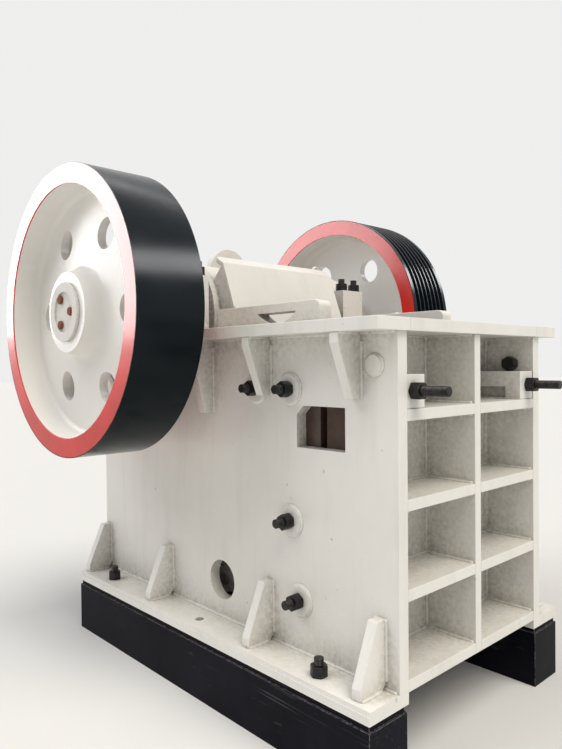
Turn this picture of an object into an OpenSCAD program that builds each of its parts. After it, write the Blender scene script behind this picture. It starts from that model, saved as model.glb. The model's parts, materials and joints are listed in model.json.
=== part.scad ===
// Jaw crusher with a welded frame, standing on a steel base, in millimetres.
// +X points out of the ribbed front wall, +Y to the belt pulley and +Z up.
// The origin is the middle of the underside of the cross beam under the middle of the frame.

/* [Base] */
// Height of the base
base_h = 250; // [200:10:400]
// Width of the base's side beams
base_beam_w = 195; // [150:5:230]
// Thickness of the beams' walls
base_wall_t = 20; // [8:1:30]
// Thickness of the plate on top of each side beam
base_pad_t = 22; // [10:1:30]
// Distance of this plate behind the beam's outer faces
base_ledge = 7; // [0:1:20]
// Width of the cross beams
cross_beam_w = 160; // [100:5:200]
// Height of the cross beams
cross_beam_h = 150; // [100:5:170]

/* [Side walls] */
// Length of the side walls
wall_len = 1965; // [1850:5:2300]
// Width over the outer faces of the side walls
wall_w = 980; // [900:10:1100]
// Thickness of the side walls
wall_t = 50; // [35:1:60]
// Height from the underside of the feet to the underside of the top flange
wall_h = 1236; // [1200:2:1300]
// Width of the window for the jaw plate's edge
window_w = 242; // [160:2:300]
// Height of the window
window_h = 157; // [100:1:200]
// Distance from the front of the wall to the window
window_d = 229; // [200:1:260]
// Height of the window's sill above the underside of the feet
window_sill = 818; // [740:2:860]
// Chamfer of the window's upper rear corner
window_chamfer = 34; // [10:1:60]
// Radius of the round access hole
access_r = 84; // [50:1:110]

/* [Feet and flange] */
// Thickness of the foot plates
foot_t = 46; // [36:1:70]
// Thickness of the foot plates' lower layer
foot_sole_t = 30; // [10:1:34]
// Distance of the upper layer's edges behind the lower layer's
foot_ledge = 3; // [0:1:10]
// Reach of the foot plates beyond the side walls
foot_reach = 155; // [120:1:200]
// Thickness of the top flange
flange_t = 44; // [30:1:60]
// Reach of the top flange beyond the side walls
flange_reach = 122; // [90:1:150]
// Overhang of the top flange beyond the front of the side walls
flange_lip = 16; // [0:1:40]
// Thickness of the gussets
gusset_t = 40; // [20:1:50]
// Width of the gussets at their narrow ends
gusset_tip = 45; // [25:1:60]
// Height of the upright edges of the gussets at their wide ends
gusset_edge = 36; // [20:1:60]
// Height of the foot gussets
foot_gusset_h = 236; // [150:2:300]
// Reach of the foot gussets along the foot plates
foot_gusset_reach = 130; // [100:1:150]
// Depth of the short flange gussets
flange_gusset_h = 226; // [150:2:300]
// Extra depth of the long flange gusset
long_gusset_extra = 85; // [0:5:150]
// Distance of the flange gussets' outer edges inside the flange's edge
flange_gusset_edge = 4; // [0:1:30]
// Radius of the weld relief holes of the foot gussets
relief_r = 16; // [8:1:25]

/* [Ribbed walls] */
// Distance from rib to rib
cell_pitch = 300; // [280:2:310]
// Thickness of the ribs
rib_t = 40; // [25:1:50]
// Depth of the ribs
rib_depth = 220; // [160:2:260]
// Thickness of the plate behind the ribs
wall_plate_t = 45; // [30:1:60]
// Height of the lowest rib above the underside of the feet
rib_start = 38; // [20:1:44]
// Number of ribs in a wall
rib_count = 4; // [3:1:4]

/* [Tie studs] */
// Width of the blocks that the tie studs come out of
stud_block_w = 104; // [80:1:130]
// Height of these blocks
stud_block_h = 115; // [100:1:160]
// Distance of the blocks behind the front of the side walls
stud_block_d = 4; // [0:1:30]
// Distance of the tie studs from the side walls
stud_wall = 40; // [35:1:60]
// Height of the tie studs above the highest ribs
stud_rise = 60; // [40:1:75]
// Reach of the tie studs in front of the side walls
stud_tip = 135; // [90:1:160]
// Height of the slot in each block
stud_slot_h = 46; // [20:1:60]
// Height of the slot's sill above the rib
stud_slot_sill = 5; // [2:1:30]
// Depth of the slot
stud_slot_depth = 34; // [10:1:38]
// Distance of the slot's end behind the front of the side walls
stud_slot_d = 71; // [40:1:120]

/* [Shaft and wheels] */
// Distance of the shaft's axis behind the front of the side walls
shaft_d = 1396; // [1380:2:1420]
// Height of the shaft's axis above the top flange
shaft_rise = 82; // [70:1:110]
// Radius of the shaft in its bearings
journal_r = 80; // [70:1:90]
// Radius of the shaft in the wheels
wheel_seat_r = 74; // [60:1:76]
// Radius of the eccentric part of the shaft
eccentric_r = 115; // [95:1:130]
// Throw of the eccentric part
eccentric_throw = 15; // [5:1:20]
// Radius of the flywheel and the pulley
wheel_r = 624; // [560:2:660]
// Width of the wheels' rims
wheel_w = 302; // [240:2:340]
// Distance from the middle plane to the inner faces of the wheels
wheel_in = 690; // [660:2:720]
// Thickness of the wheels' rims
rim_t = 84; // [50:1:110]
// Thickness of the wheels' webs
web_t = 40; // [25:1:60]
// Distance from a rim's outer face to the web at the hub
web_recess = 100; // [60:1:140]
// Extra distance from the outer face to the web at the rim
web_dish = 28; // [0:1:40]
// Radius of the hub at its face
hub_r = 173; // [150:1:200]
// Growth of the hub's radius from its face to the web
hub_taper = 17; // [0:1:40]
// Distance from a rim's outer face to the hub's face
hub_recess = 24; // [0:1:60]
// Radius of the holes in the webs
web_hole_r = 67; // [40:1:80]
// Radius of the circle of web holes
web_hole_pcr = 373; // [330:1:400]
// Number of web holes
web_hole_count = 6; // [4:1:8]
// Number of belt grooves in the pulley
groove_count = 7; // [4:1:8]
// Distance from groove to groove
groove_pitch = 37; // [32:1:37]
// Depth of the belt grooves
groove_depth = 28; // [15:1:35]
// Width of the belt grooves at the top
groove_top = 30; // [20:1:31]
// Width of the belt grooves at the bottom
groove_bottom = 12; // [6:1:18]
// Radius of the discs that close the hubs
end_cap_r = 130; // [100:1:150]
// Thickness of these discs
end_cap_t = 14; // [8:1:25]
// Radius of the circle of screws in a disc
end_screw_pcr = 58; // [40:1:80]
// Width of the screws' heads across the corners
end_screw_w = 46; // [30:1:50]
// Height of the screws' heads
end_screw_h = 18; // [10:1:25]

/* [Shaft bearings] */
// Distance of the bearing housings outside the inner faces of the side walls
housing_step = 10; // [0:1:20]
// Width of the bearing housings
housing_w = 158; // [120:1:170]
// Half the length of the bearing housings
housing_half = 326; // [310:2:360]
// Radius of the crown of the bearing caps
crown_r = 280; // [220:1:290]
// Height of the ears of the bearing caps above the split
ear_h = 168; // [100:2:180]
// Length of these ears
ear_l = 92; // [80:1:100]
// Height of the bearing caps' sides above the split
cap_side_h = 92; // [60:1:100]
// Outer radius of the bearings
bearing_r = 145; // [130:1:150]
// Width of the bearings
bearing_w = 90; // [70:2:110]
// Radius of the round underside of the bearing seats
saddle_r = 192; // [180:1:210]
// Radius of the bearing covers
cover_r = 178; // [160:1:179]
// Thickness of the bearing covers
cover_t = 20; // [10:1:25]
// Distance of the cap bolts from the shaft's axis
cap_bolt_x = 288; // [280:1:300]
// Half the distance between the two bolts at one ear
cap_bolt_y = 50; // [40:1:50]

/* [Jaws] */
// Feed opening at the top of the moving jaw plate
feed_gap = 500; // [460:5:520]
// Discharge gap at the bottom
discharge_gap = 80; // [50:1:110]
// Height of the bottom of the jaw plates above the underside of the feet
jaw_bottom = 130; // [100:1:150]
// Height of the top of the moving jaw plate above the underside of the feet
jaw_top = 1240; // [1200:1:1260]
// Thickness of the fixed jaw plate over its teeth
fixed_jaw_t = 130; // [100:1:140]
// Thickness of the moving jaw plate over its teeth
moving_jaw_t = 90; // [75:1:100]
// Height of the teeth
tooth_h = 32; // [15:1:45]
// Number of teeth across a jaw plate
tooth_count = 11; // [7:1:15]
// Thickness of the cheek plates
cheek_t = 65; // [50:1:70]
// Height of the upper cheek plates above the top flange
cheek_rise = 94; // [60:1:120]
// Height of the joint between the cheek plates above the underside of the feet
cheek_joint = 700; // [640:5:740]
// Gap in this joint
cheek_joint_gap = 5; // [2:1:12]
// Distance from the front of the side walls to the rear ends of the upper cheek plates
cheek_end = 1020; // [980:1:1060]
// Reach of the cheek plates behind the moving jaw plate's teeth
cheek_behind = 100; // [60:1:110]
// Radius of the upper cheek plates' front corners
cheek_corner = 30; // [10:1:60]
// Length of the hand hole in each upper cheek plate
hand_hole_w = 225; // [150:1:260]
// Height of the hand hole
hand_hole_h = 45; // [30:1:50]
// Distance from the front of the side walls to the middle of the hand hole
hand_hole_d = 637; // [600:1:700]
// Height of the hand hole's flat top above the top flange
hand_hole_rise = 57; // [50:1:70]
// Gap between the swing jaw and the cheek plates
jaw_side_gap = 18; // [12:1:30]
// Thickness of the swing jaw behind the jaw plate
jaw_wall = 95; // [60:1:110]
// Gap between the moving jaw plate and the cheek plates
jaw_gap = 10; // [6:1:14]
// Radius of the swing jaw's barrel
barrel_r = 280; // [260:1:290]
// Width of the collars at the barrel's ends
barrel_collar_w = 20; // [10:1:30]
// Height of these collars over the bare barrel
barrel_step = 14; // [6:1:20]
// Distance of the barrel's ends inside the inner faces of the side walls
barrel_gap = 45; // [35:1:60]
// Thickness of the guard plate on the swing jaw
guard_t = 22; // [12:1:35]
// Radius of the guard plate's upper corners
guard_corner_r = 60; // [20:1:90]
// Radius of the lifting lug
lug_r = 125; // [90:1:140]
// Thickness of the lifting lug
lug_t = 60; // [40:1:80]
// Distance of the lifting lug behind the shaft's axis
lug_back = 122; // [100:1:140]
// Height of the lifting lug's hole above the shaft's axis
lug_rise = 260; // [240:1:280]
// Radius of the hole in the lifting lug
lug_hole_r = 45; // [25:1:60]

/* [Toggle and tension rods] */
// Thickness of the toggle plate
toggle_t = 60; // [40:1:70]
// Distance of the toggle plate's ends inside the swing jaw's sides
toggle_side = 40; // [20:1:60]
// Gap at the toggle plate's ends in its seats
toggle_end_gap = 10; // [5:1:15]
// Height of the toggle plate's front end above the underside of the feet
toggle_front_h = 340; // [330:2:360]
// Height of the toggle plate's rear end above the underside of the feet
toggle_rear_h = 410; // [390:2:430]
// Length of the toggle block along X
toggle_block_l = 140; // [100:2:180]
// Height of the toggle block
toggle_block_h = 200; // [160:2:220]
// Width of the guides of the toggle block
guide_w = 60; // [40:1:70]
// Height of these guides
guide_h = 40; // [25:1:50]
// Reach of these guides in front of the block
guide_reach = 30; // [10:1:50]
// Number of shims behind the toggle block
shim_count = 4; // [2:1:6]
// Thickness of a shim
shim_t = 15; // [8:1:20]
// Distance of the tension rods' pins behind the front of the side walls
rod_pin_d = 1090; // [1060:1:1110]
// Height of the tension rods above the underside of the feet
rod_h = 142; // [132:1:150]
// Radius of the tension rods
rod_r = 20; // [14:1:24]
// Distance of the tension rods from the middle plane
rod_y = 200; // [180:5:260]
// Length of the springs on the tension rods
spring_l = 128; // [100:2:140]
// Radius of the springs to the middle of the wire
spring_r = 36; // [32:1:44]
// Radius of the spring wire
spring_wire_r = 7; // [5:0.5:8]

/* [Bolts] */
// Width across the flats of the large nuts
nut_af = 55; // [46:1:60]
// Height of a large nut
nut_h = 39; // [30:1:45]
// Height of a large bolt's head
head_h = 26; // [20:1:30]
// Radius of the large bolts
bolt_r = 18; // [14:1:21]
// Radius of the round seats under the cheek bolts' nuts
ring_r = 58; // [45:1:65]
// Thickness of these seats
ring_t = 12; // [5:1:20]

/* [Hidden] */

paint = "ivory";
black = "#16181c";
rim_red = "#c2201a";
rough = "#3a2a20";
bare = "silver";

// Clearances: a part that seats beside another, a part that turns, a bolt in its hole
seat_gap = 0.3;
run_gap = 0.1;
bolt_gap = 1;
cover_gap = 5;
rod_room = 8;
eye_room = 8;
barrel_room = 20;
round_n = 96;
small_n = 32;

wall_out = wall_w / 2;
wall_in = wall_out - wall_t;
foot_out = wall_out + foot_reach;
flange_out = wall_out + flange_reach;
plate_back = rib_depth + wall_plate_t;
flange_top = wall_h + flange_t;
shaft_h = flange_top + shaft_rise;
wheel_out = wheel_in + wheel_w;
web_x = wheel_out - web_recess;
hub_face = wheel_out - hub_recess;
housing_in = wall_in + housing_step;
housing_out = housing_in + housing_w;
fixed_face = plate_back + fixed_jaw_t;
cheek_in = wall_in - cheek_t;
moving_half = cheek_in - jaw_gap;
jaw_half = cheek_in - jaw_side_gap;
barrel_half = wall_in - barrel_gap;
beam_top = base_h - base_pad_t;
hex_r = nut_af / sqrt(3);

foot_bolt_d = [278, wall_len - 247];
spare_hole_d = 984;
foot_bolt_edge = 65;
foot_bolt_y = foot_out - foot_bolt_edge;
foot_gusset_d = [75, 630, 1335, wall_len - 35];
flange_gusset_d = [173, 632, 1008, wall_len - 181];
long_gusset = 2;
access_d = 941;
access_h = 204;
bolt_end = 26;
cheek_bolt_high = [[698, 1036], [505, 1036]];
cheek_bolt_low = [[505, 534], [458, 240]];
cheek_bolt_at = concat(cheek_bolt_high, cheek_bolt_low);
boss_at = [95, 1125];
boss_r = 35;
cheek_bolt_end = 34;

// X of a point that lies d behind the front of the side walls, and Z of a height above the feet
function fx(d) = wall_len / 2 - d;
function fz(h) = base_h + h;

// Points behind the front and above the feet, as X and Z
function at(p) = [fx(p[0]), fz(p[1])];

// A path moved sideways by t, with mitred corners
function unit(v) = v / norm(v);
function side(a, b) = let (u = unit(b - a)) [u[1], -u[0]];
function moved(p, t) = [for (i = [0:len(p) - 1]) let (
    a = side(p[max(i - 1, 0)], p[max(i, 1)]),
    b = side(p[min(i, len(p) - 2)], p[min(i + 1, len(p) - 1)]),
    m = unit(a + b)) p[i] + m * t / (m * a)];
function backwards(p) = [for (i = [len(p) - 1:-1:0]) p[i]];

module both_sides() {
    children();
    mirror([0, 1, 0]) children();
}

// A block given by its lowest and highest corners
module block(low, high) {
    translate(low) cube(high - low);
}

// An outline in Y and Z, drawn out along X
module along_x(x0, x1) {
    translate([x0, 0, 0]) rotate([90, 0, 90]) linear_extrude(x1 - x0) children();
}

// An outline in X and Z, drawn out along Y
module along_y(y0, y1) {
    translate([0, y1, 0]) rotate([90, 0, 0]) linear_extrude(y1 - y0) children();
}

module rod_x(x0, x1, y, z, r, n = small_n) {
    translate([x0, y, z]) rotate([0, 90, 0]) cylinder(h = x1 - x0, r = r, $fn = n);
}

module rod_y(y0, y1, x, z, r, n = small_n) {
    translate([x, y0, z]) rotate([-90, 0, 0]) cylinder(h = y1 - y0, r = r, $fn = n);
}

module rod_z(z0, z1, x, y, r, n = small_n) {
    translate([x, y, z0]) cylinder(h = z1 - z0, r = r, $fn = n);
}

module at_shaft() {
    translate([fx(shaft_d), 0, fz(shaft_h)]) children();
}

// Base

module foot_bolt_holes(r, z0, z1) {
    for (d = foot_bolt_d) rod_z(z0, z1, fx(d), foot_bolt_y, r);
}

// A closed box beam on each side, with its plate on top
module base_side_beams() {
    low = [-wall_len / 2, foot_out - base_beam_w, 0];
    high = [wall_len / 2, foot_out, beam_top];
    wall = [1, 1, 1] * base_wall_t;
    ledge = [base_ledge, base_ledge, 0];
    color(black) both_sides() difference() {
        union() {
            difference() {
                block(low, high);
                block(low + wall, high - wall);
            }
            block([low[0], low[1], beam_top] + ledge, [high[0], high[1], base_h] - ledge);
        }
        foot_bolt_holes(bolt_r + bolt_gap, beam_top - base_wall_t - 1, base_h + 1);
    }
}

module base_cross_beams() {
    span = foot_out - base_beam_w;
    color(black) for (x = [0, (cross_beam_w - wall_len) / 2]) along_y(-span, span) difference() {
        translate([x - cross_beam_w / 2, 0]) square([cross_beam_w, cross_beam_h]);
        translate([x - cross_beam_w / 2 + base_wall_t, base_wall_t])
            square([cross_beam_w - 2 * base_wall_t, cross_beam_h - 2 * base_wall_t]);
    }
}

// Feet

module foot_plates() {
    color(paint) both_sides() difference() {
        union() {
            block([-wall_len / 2, wall_in, base_h], [wall_len / 2, foot_out, fz(foot_sole_t)]);
            block([-wall_len / 2, wall_in, base_h], [wall_len / 2, foot_out - foot_ledge, fz(foot_t)]);
        }
        foot_bolt_holes(bolt_r + bolt_gap, base_h - 1, fz(foot_t) + 1);
        rod_z(base_h - 1, fz(foot_t) + 1, fx(spare_hole_d), foot_bolt_y, bolt_r + bolt_gap);
    }
}

module foot_bolts() {
    head_z = beam_top - base_wall_t;
    color(black) both_sides() for (d = foot_bolt_d) {
        rod_z(head_z - head_h, fz(foot_t) + nut_h + bolt_end, fx(d), foot_bolt_y, bolt_r);
        rod_z(fz(foot_t), fz(foot_t) + nut_h, fx(d), foot_bolt_y, hex_r, 6);
        rod_z(head_z - head_h, head_z, fx(d), foot_bolt_y, hex_r, 6);
    }
}

// Side walls

// Room for the round underside of a bearing seat
module saddle_cut() {
    at_shaft() rod_y(wall_in - 1, flange_out + 1, 0, 0, saddle_r + seat_gap, round_n);
}

module window_outline() {
    back = window_d + window_w;
    top = window_sill + window_h;
    polygon([at([window_d, window_sill]), at([back, window_sill]), at([back, top - window_chamfer]),
        at([back - window_chamfer, top]), at([window_d, top])]);
}

module side_wall() {
    color(paint) difference() {
        block([-wall_len / 2, wall_in, fz(foot_t)], [wall_len / 2, wall_out, fz(wall_h)]);
        along_y(wall_in - 1, wall_out + 1) window_outline();
        rod_y(wall_in - 1, wall_out + 1, fx(access_d), fz(access_h), access_r, 64);
        for (p = concat(cheek_bolt_at, [boss_at]))
            rod_y(wall_in - 1, wall_out + 1, fx(p[0]), fz(p[1]), bolt_r + bolt_gap);
        saddle_cut();
    }
}

module side_wall_left() side_wall();
module side_wall_right() mirror([0, 1, 0]) side_wall();

module wall_rings() {
    color(paint) both_sides() {
        for (p = cheek_bolt_at) difference() {
            rod_y(wall_out, wall_out + ring_t, fx(p[0]), fz(p[1]), ring_r, 48);
            rod_y(wall_out - 1, wall_out + ring_t + 1, fx(p[0]), fz(p[1]), bolt_r + bolt_gap);
            for (d = flange_gusset_d)
                block([fx(d) - gusset_t / 2, wall_out - 1, fz(wall_h - flange_gusset_h)],
                    [fx(d) + gusset_t / 2, wall_out + ring_t + 1, fz(wall_h)]);
        }
        rod_y(wall_out, wall_out + ring_t, fx(boss_at[0]), fz(boss_at[1]), boss_r, 48);
    }
}

// The bolts of the cheek plates, and a short one with its nut inside behind each boss
module cheek_bolts() {
    seat = wall_out + ring_t;
    color(black) both_sides() {
        for (p = cheek_bolt_at) {
            rod_y(cheek_in, seat + nut_h + cheek_bolt_end, fx(p[0]), fz(p[1]), bolt_r);
            rod_y(cheek_in, cheek_in + head_h, fx(p[0]), fz(p[1]), hex_r - bolt_gap);
            rod_y(seat, seat + nut_h, fx(p[0]), fz(p[1]), hex_r, 6);
        }
        rod_y(wall_in - nut_h, wall_out, fx(boss_at[0]), fz(boss_at[1]), bolt_r);
        rod_y(wall_in - nut_h, wall_in, fx(boss_at[0]), fz(boss_at[1]), hex_r, 6);
    }
}

// Ribbed front and rear walls, drawn for the front

module ribbed_plate() {
    color(paint) block([fx(plate_back), -wall_in, fz(rib_start)], [fx(rib_depth), wall_in, fz(wall_h)]);
}

// Room for the swing jaw's barrel behind the shaft
module barrel_cut() {
    at_shaft() rod_y(-wall_out, wall_out, 0, 0, barrel_r + barrel_room, round_n);
}

module ribs() {
    color(paint) both_sides() for (i = [0:rib_count - 1])
        block([fx(rib_depth), rib_t / 2, fz(rib_start + i * cell_pitch)],
            [fx(0), wall_in, fz(rib_start + i * cell_pitch + rib_t)]);
}

module centre_rib() {
    color(paint) block([fx(rib_depth), -rib_t / 2, fz(rib_start)], [fx(0), rib_t / 2, fz(wall_h)]);
}

module front_plate() ribbed_plate();
module front_ribs() ribs();
module front_centre_rib() centre_rib();

module rear_plate() {
    difference() {
        mirror([1, 0, 0]) ribbed_plate();
        for (y = [-rod_y, rod_y])
            rod_x(-fx(rib_depth) - 1, -fx(plate_back) + 1, y, fz(rod_h), rod_r + rod_room);
        barrel_cut();
    }
}

module rear_ribs() {
    difference() {
        mirror([1, 0, 0]) ribs();
        barrel_cut();
    }
}

module rear_centre_rib() {
    difference() {
        mirror([1, 0, 0]) centre_rib();
        barrel_cut();
    }
}

// Top flange

module top_flange_sides() {
    color(paint) both_sides() difference() {
        block([-wall_len / 2 - flange_lip, wall_in, fz(wall_h)],
            [wall_len / 2 + flange_lip, flange_out, fz(flange_top)]);
        saddle_cut();
    }
}

module top_flange_ends() {
    color(paint) difference() {
        for (s = [0, 1]) mirror([s, 0, 0]) block([fx(plate_back), -wall_in, fz(wall_h)],
            [wall_len / 2 + flange_lip, wall_in, fz(flange_top)]);
        barrel_cut();
    }
}

// Gussets

// A gusset against a side wall: its wide end on a plate at height 0, its narrow end up
module gusset_outline(reach, h, tip) {
    polygon([[0, 0], [reach, 0], [reach, gusset_edge], [tip, h], [0, h]]);
}

module foot_gusset_outline() {
    translate([wall_out, fz(foot_t)]) difference() {
        gusset_outline(foot_gusset_reach, foot_gusset_h, gusset_tip);
        circle(relief_r, $fn = small_n);
    }
}

module foot_gussets() {
    color(paint) both_sides() for (d = foot_gusset_d)
        along_x(fx(d) - gusset_t / 2, fx(d) + gusset_t / 2) foot_gusset_outline();
}

module flange_gusset_outline(depth, top = wall_h) {
    translate([wall_out, fz(top)]) mirror([0, 1])
        gusset_outline(flange_reach - flange_gusset_edge, depth, gusset_tip);
}

module flange_gussets() {
    color(paint) both_sides() for (i = [0:len(flange_gusset_d) - 1])
        along_x(fx(flange_gusset_d[i]) - gusset_t / 2, fx(flange_gusset_d[i]) + gusset_t / 2)
            flange_gusset_outline(flange_gusset_h + (i == long_gusset ? long_gusset_extra : 0));
}

// A gusset under the round underside of each bearing seat
module saddle_gussets() {
    color(paint) both_sides() along_x(fx(shaft_d) - gusset_t / 2, fx(shaft_d) + gusset_t / 2)
        flange_gusset_outline(flange_gusset_h, shaft_h - saddle_r - seat_gap);
}

// Tie studs of the front wall

stud_y = wall_in - stud_wall;
stud_low = rib_start + (rib_count - 1) * cell_pitch + rib_t;
stud_h = stud_low + stud_rise;

// Blocks on the highest ribs, with a slot in the side that faces the centre rib
module stud_blocks() {
    inner = wall_in - stud_block_w;
    color(paint) both_sides() difference() {
        block([fx(rib_depth), inner, fz(stud_low)], [fx(stud_block_d), wall_in, fz(stud_low + stud_block_h)]);
        rod_x(fx(rib_depth) - 1, fx(stud_block_d) + 1, stud_y, fz(stud_h), bolt_r + seat_gap);
        block([fx(rib_depth) - 1, inner - 1, fz(stud_low + stud_slot_sill)],
            [fx(stud_slot_d), inner + stud_slot_depth, fz(stud_low + stud_slot_sill + stud_slot_h)]);
    }
}

module jaw_studs() {
    color(black) both_sides() {
        rod_x(fx(rib_depth), fx(-stud_tip), stud_y, fz(stud_h), bolt_r);
        rod_x(fx(stud_block_d), fx(stud_block_d) + nut_h, stud_y, fz(stud_h), hex_r, 6);
    }
}

// Wear plates

tooth_edge = 20;
function tooth_line(half, h) = [for (i = [0:tooth_count - 1]) let (
    p = 2 * (half - tooth_edge) / tooth_count, y = -half + tooth_edge + i * p)
    each [[y + p * 0.05, 0], [y + p * 0.35, h], [y + p * 0.65, h], [y + p * 0.95, 0]]];

// Section of a toothed plate: Y across, with the teeth along +X
module toothed_outline(half, t) {
    polygon(concat([[-half, -(t - tooth_h)], [-half, 0]], tooth_line(half, tooth_h),
        [[half, 0], [half, -(t - tooth_h)]]));
}

module fixed_jaw_plate() {
    color(rough) translate([fx(fixed_face - tooth_h), 0, fz(jaw_bottom)]) mirror([1, 0, 0])
        linear_extrude(wall_h - jaw_bottom - jaw_gap) rotate([0, 0, -90]) mirror([1, 0])
            toothed_outline(wall_in - seat_gap, fixed_jaw_t);
}

function rear_of_cheek(h) = fixed_face + discharge_gap + cheek_behind
    + (feed_gap - discharge_gap) * (h - jaw_bottom) / (jaw_top - jaw_bottom);

module cheek_bolt_holes(points) {
    for (p = points) {
        rod_y(cheek_in - 1, wall_in + 1, fx(p[0]), fz(p[1]), bolt_r + bolt_gap);
        rod_y(cheek_in - 1, cheek_in + head_h, fx(p[0]), fz(p[1]), hex_r);
    }
}

// A hand hole with a flat top and a round bottom
module hand_hole() {
    r = (hand_hole_w * hand_hole_w / 4 + hand_hole_h * hand_hole_h) / (2 * hand_hole_h);
    translate(at([hand_hole_d, flange_top + hand_hole_rise])) intersection() {
        translate([0, r - hand_hole_h]) circle(r, $fn = 96);
        translate([-hand_hole_w, -2 * hand_hole_h]) square([2 * hand_hole_w, 2 * hand_hole_h]);
    }
}

module upper_cheek_plates() {
    top = flange_top + cheek_rise;
    color(rough) both_sides() difference() {
        along_y(cheek_in, wall_in) difference() {
            union() {
                polygon([at([fixed_face, cheek_joint]), at([rear_of_cheek(cheek_joint), cheek_joint]),
                    at([cheek_end, flange_top]), at([cheek_end, top]), at([fixed_face + cheek_corner, top]),
                    at([fixed_face, top - cheek_corner])]);
                translate(at([fixed_face + cheek_corner, top - cheek_corner]))
                    circle(cheek_corner, $fn = small_n);
            }
            hand_hole();
        }
        cheek_bolt_holes(cheek_bolt_high);
    }
}

module lower_cheek_plates() {
    joint = cheek_joint - cheek_joint_gap;
    color(rough) both_sides() difference() {
        along_y(cheek_in, wall_in)
            polygon([at([fixed_face, jaw_bottom]), at([rear_of_cheek(jaw_bottom), jaw_bottom]),
                at([rear_of_cheek(joint), joint]), at([fixed_face, joint])]);
        cheek_bolt_holes(cheek_bolt_low);
    }
}

// Shaft bearings

module bearing_seats() {
    color(paint) both_sides() difference() {
        union() {
            block([fx(shaft_d) - housing_half, housing_in, fz(flange_top)],
                [fx(shaft_d) + housing_half, housing_out, fz(shaft_h)]);
            intersection() {
                rod_y(housing_in, housing_out, fx(shaft_d), fz(shaft_h), saddle_r, round_n);
                block([fx(shaft_d) - saddle_r, housing_in, fz(shaft_h) - saddle_r - 1],
                    [fx(shaft_d) + saddle_r, housing_out, fz(shaft_h)]);
            }
        }
        rod_y(housing_in - 1, housing_out + 1, fx(shaft_d), fz(shaft_h), bearing_r, round_n);
        for (s = [-1, 1]) for (t = [-1, 1])
            rod_z(fz(flange_top) - 1, fz(shaft_h) + 1, fx(shaft_d) + s * cap_bolt_x,
                (housing_in + housing_out) / 2 + t * cap_bolt_y, bolt_r + bolt_gap);
    }
}

module bearing_caps() {
    color(paint) both_sides() difference() {
        along_y(housing_in, housing_out) intersection() {
            translate([fx(shaft_d), fz(shaft_h)]) union() {
                circle(crown_r, $fn = round_n);
                translate([-housing_half, 0]) square([2 * housing_half, cap_side_h]);
                for (s = [0, 1]) mirror([s, 0]) translate([housing_half - ear_l, 0]) square([ear_l, ear_h]);
            }
            translate([fx(shaft_d) - housing_half, fz(shaft_h)]) square([2 * housing_half, 2 * crown_r]);
        }
        rod_y(housing_in - 1, housing_out + 1, fx(shaft_d), fz(shaft_h), bearing_r, round_n);
        for (s = [-1, 1]) for (t = [-1, 1])
            rod_z(fz(shaft_h) - 1, fz(shaft_h) + ear_h + 1, fx(shaft_d) + s * cap_bolt_x,
                (housing_in + housing_out) / 2 + t * cap_bolt_y, bolt_r + bolt_gap);
    }
}

module bearing_covers() {
    color(paint) both_sides() for (y0 = [housing_in - cover_t, housing_out]) difference() {
        rod_y(y0, y0 + cover_t, fx(shaft_d), fz(shaft_h), cover_r, round_n);
        rod_y(y0 - 1, y0 + cover_t + 1, fx(shaft_d), fz(shaft_h), journal_r + cover_gap, round_n);
    }
}

module main_bearings() {
    middle = (housing_in + housing_out) / 2;
    color(bare) both_sides() difference() {
        rod_y(middle - bearing_w / 2, middle + bearing_w / 2, fx(shaft_d), fz(shaft_h),
            bearing_r - run_gap, round_n);
        rod_y(housing_in, housing_out, fx(shaft_d), fz(shaft_h), journal_r + run_gap, round_n);
    }
}

module cap_bolts() {
    top = fz(shaft_h) + ear_h;
    color(black) both_sides() for (s = [-1, 1]) for (t = [-1, 1]) {
        x = fx(shaft_d) + s * cap_bolt_x;
        y = (housing_in + housing_out) / 2 + t * cap_bolt_y;
        rod_z(fz(flange_top), top + nut_h + bolt_end, x, y, bolt_r);
        rod_z(top, top + nut_h, x, y, hex_r, 6);
    }
}

// Shaft and wheels

module eccentric_shaft() {
    color(bare) at_shaft() {
        rod_y(-hub_face, hub_face, 0, 0, wheel_seat_r, round_n);
        rod_y(-wheel_in + seat_gap, wheel_in - seat_gap, 0, 0, journal_r, round_n);
        rod_y(-barrel_half - cover_gap, barrel_half + cover_gap, 0, eccentric_throw, eccentric_r, round_n);
    }
}

// Half section of a wheel: radius across, distance from the middle plane up
function wheel_outline(grooves) = concat(
    [[wheel_seat_r + run_gap, wheel_in], [hub_r, wheel_in], [hub_r + hub_taper, web_x - web_t],
        [wheel_r - rim_t, web_x - web_dish - web_t], [wheel_r - rim_t, wheel_in], [wheel_r, wheel_in]],
    grooves,
    [[wheel_r, wheel_out], [wheel_r - rim_t, wheel_out], [wheel_r - rim_t, web_x - web_dish],
        [hub_r + hub_taper, web_x], [hub_r, hub_face], [wheel_seat_r + run_gap, hub_face]]);

function belt_grooves() = let (y0 = (wheel_in + wheel_out - (groove_count - 1) * groove_pitch) / 2)
    [for (i = [0:groove_count - 1]) let (y = y0 + i * groove_pitch)
        each [[wheel_r, y - groove_top / 2], [wheel_r - groove_depth, y - groove_bottom / 2],
            [wheel_r - groove_depth, y + groove_bottom / 2], [wheel_r, y + groove_top / 2]]];

module wheel(grooves) {
    at_shaft() rotate([-90, 0, 0]) difference() {
        rotate_extrude($fn = 128) polygon(wheel_outline(grooves));
        for (i = [0:web_hole_count - 1]) rotate([0, 0, i * 360 / web_hole_count])
            translate([web_hole_pcr, 0, wheel_in]) cylinder(h = wheel_w, r = web_hole_r, $fn = 48);
    }
}

module flywheel() {
    color(black) mirror([0, 1, 0]) wheel([]);
}

module belt_pulley() {
    color(black) wheel(belt_grooves());
}

module wheel_end_caps() {
    color(paint) both_sides() at_shaft() rod_y(hub_face, hub_face + end_cap_t, 0, 0, end_cap_r, 64);
}

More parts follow.
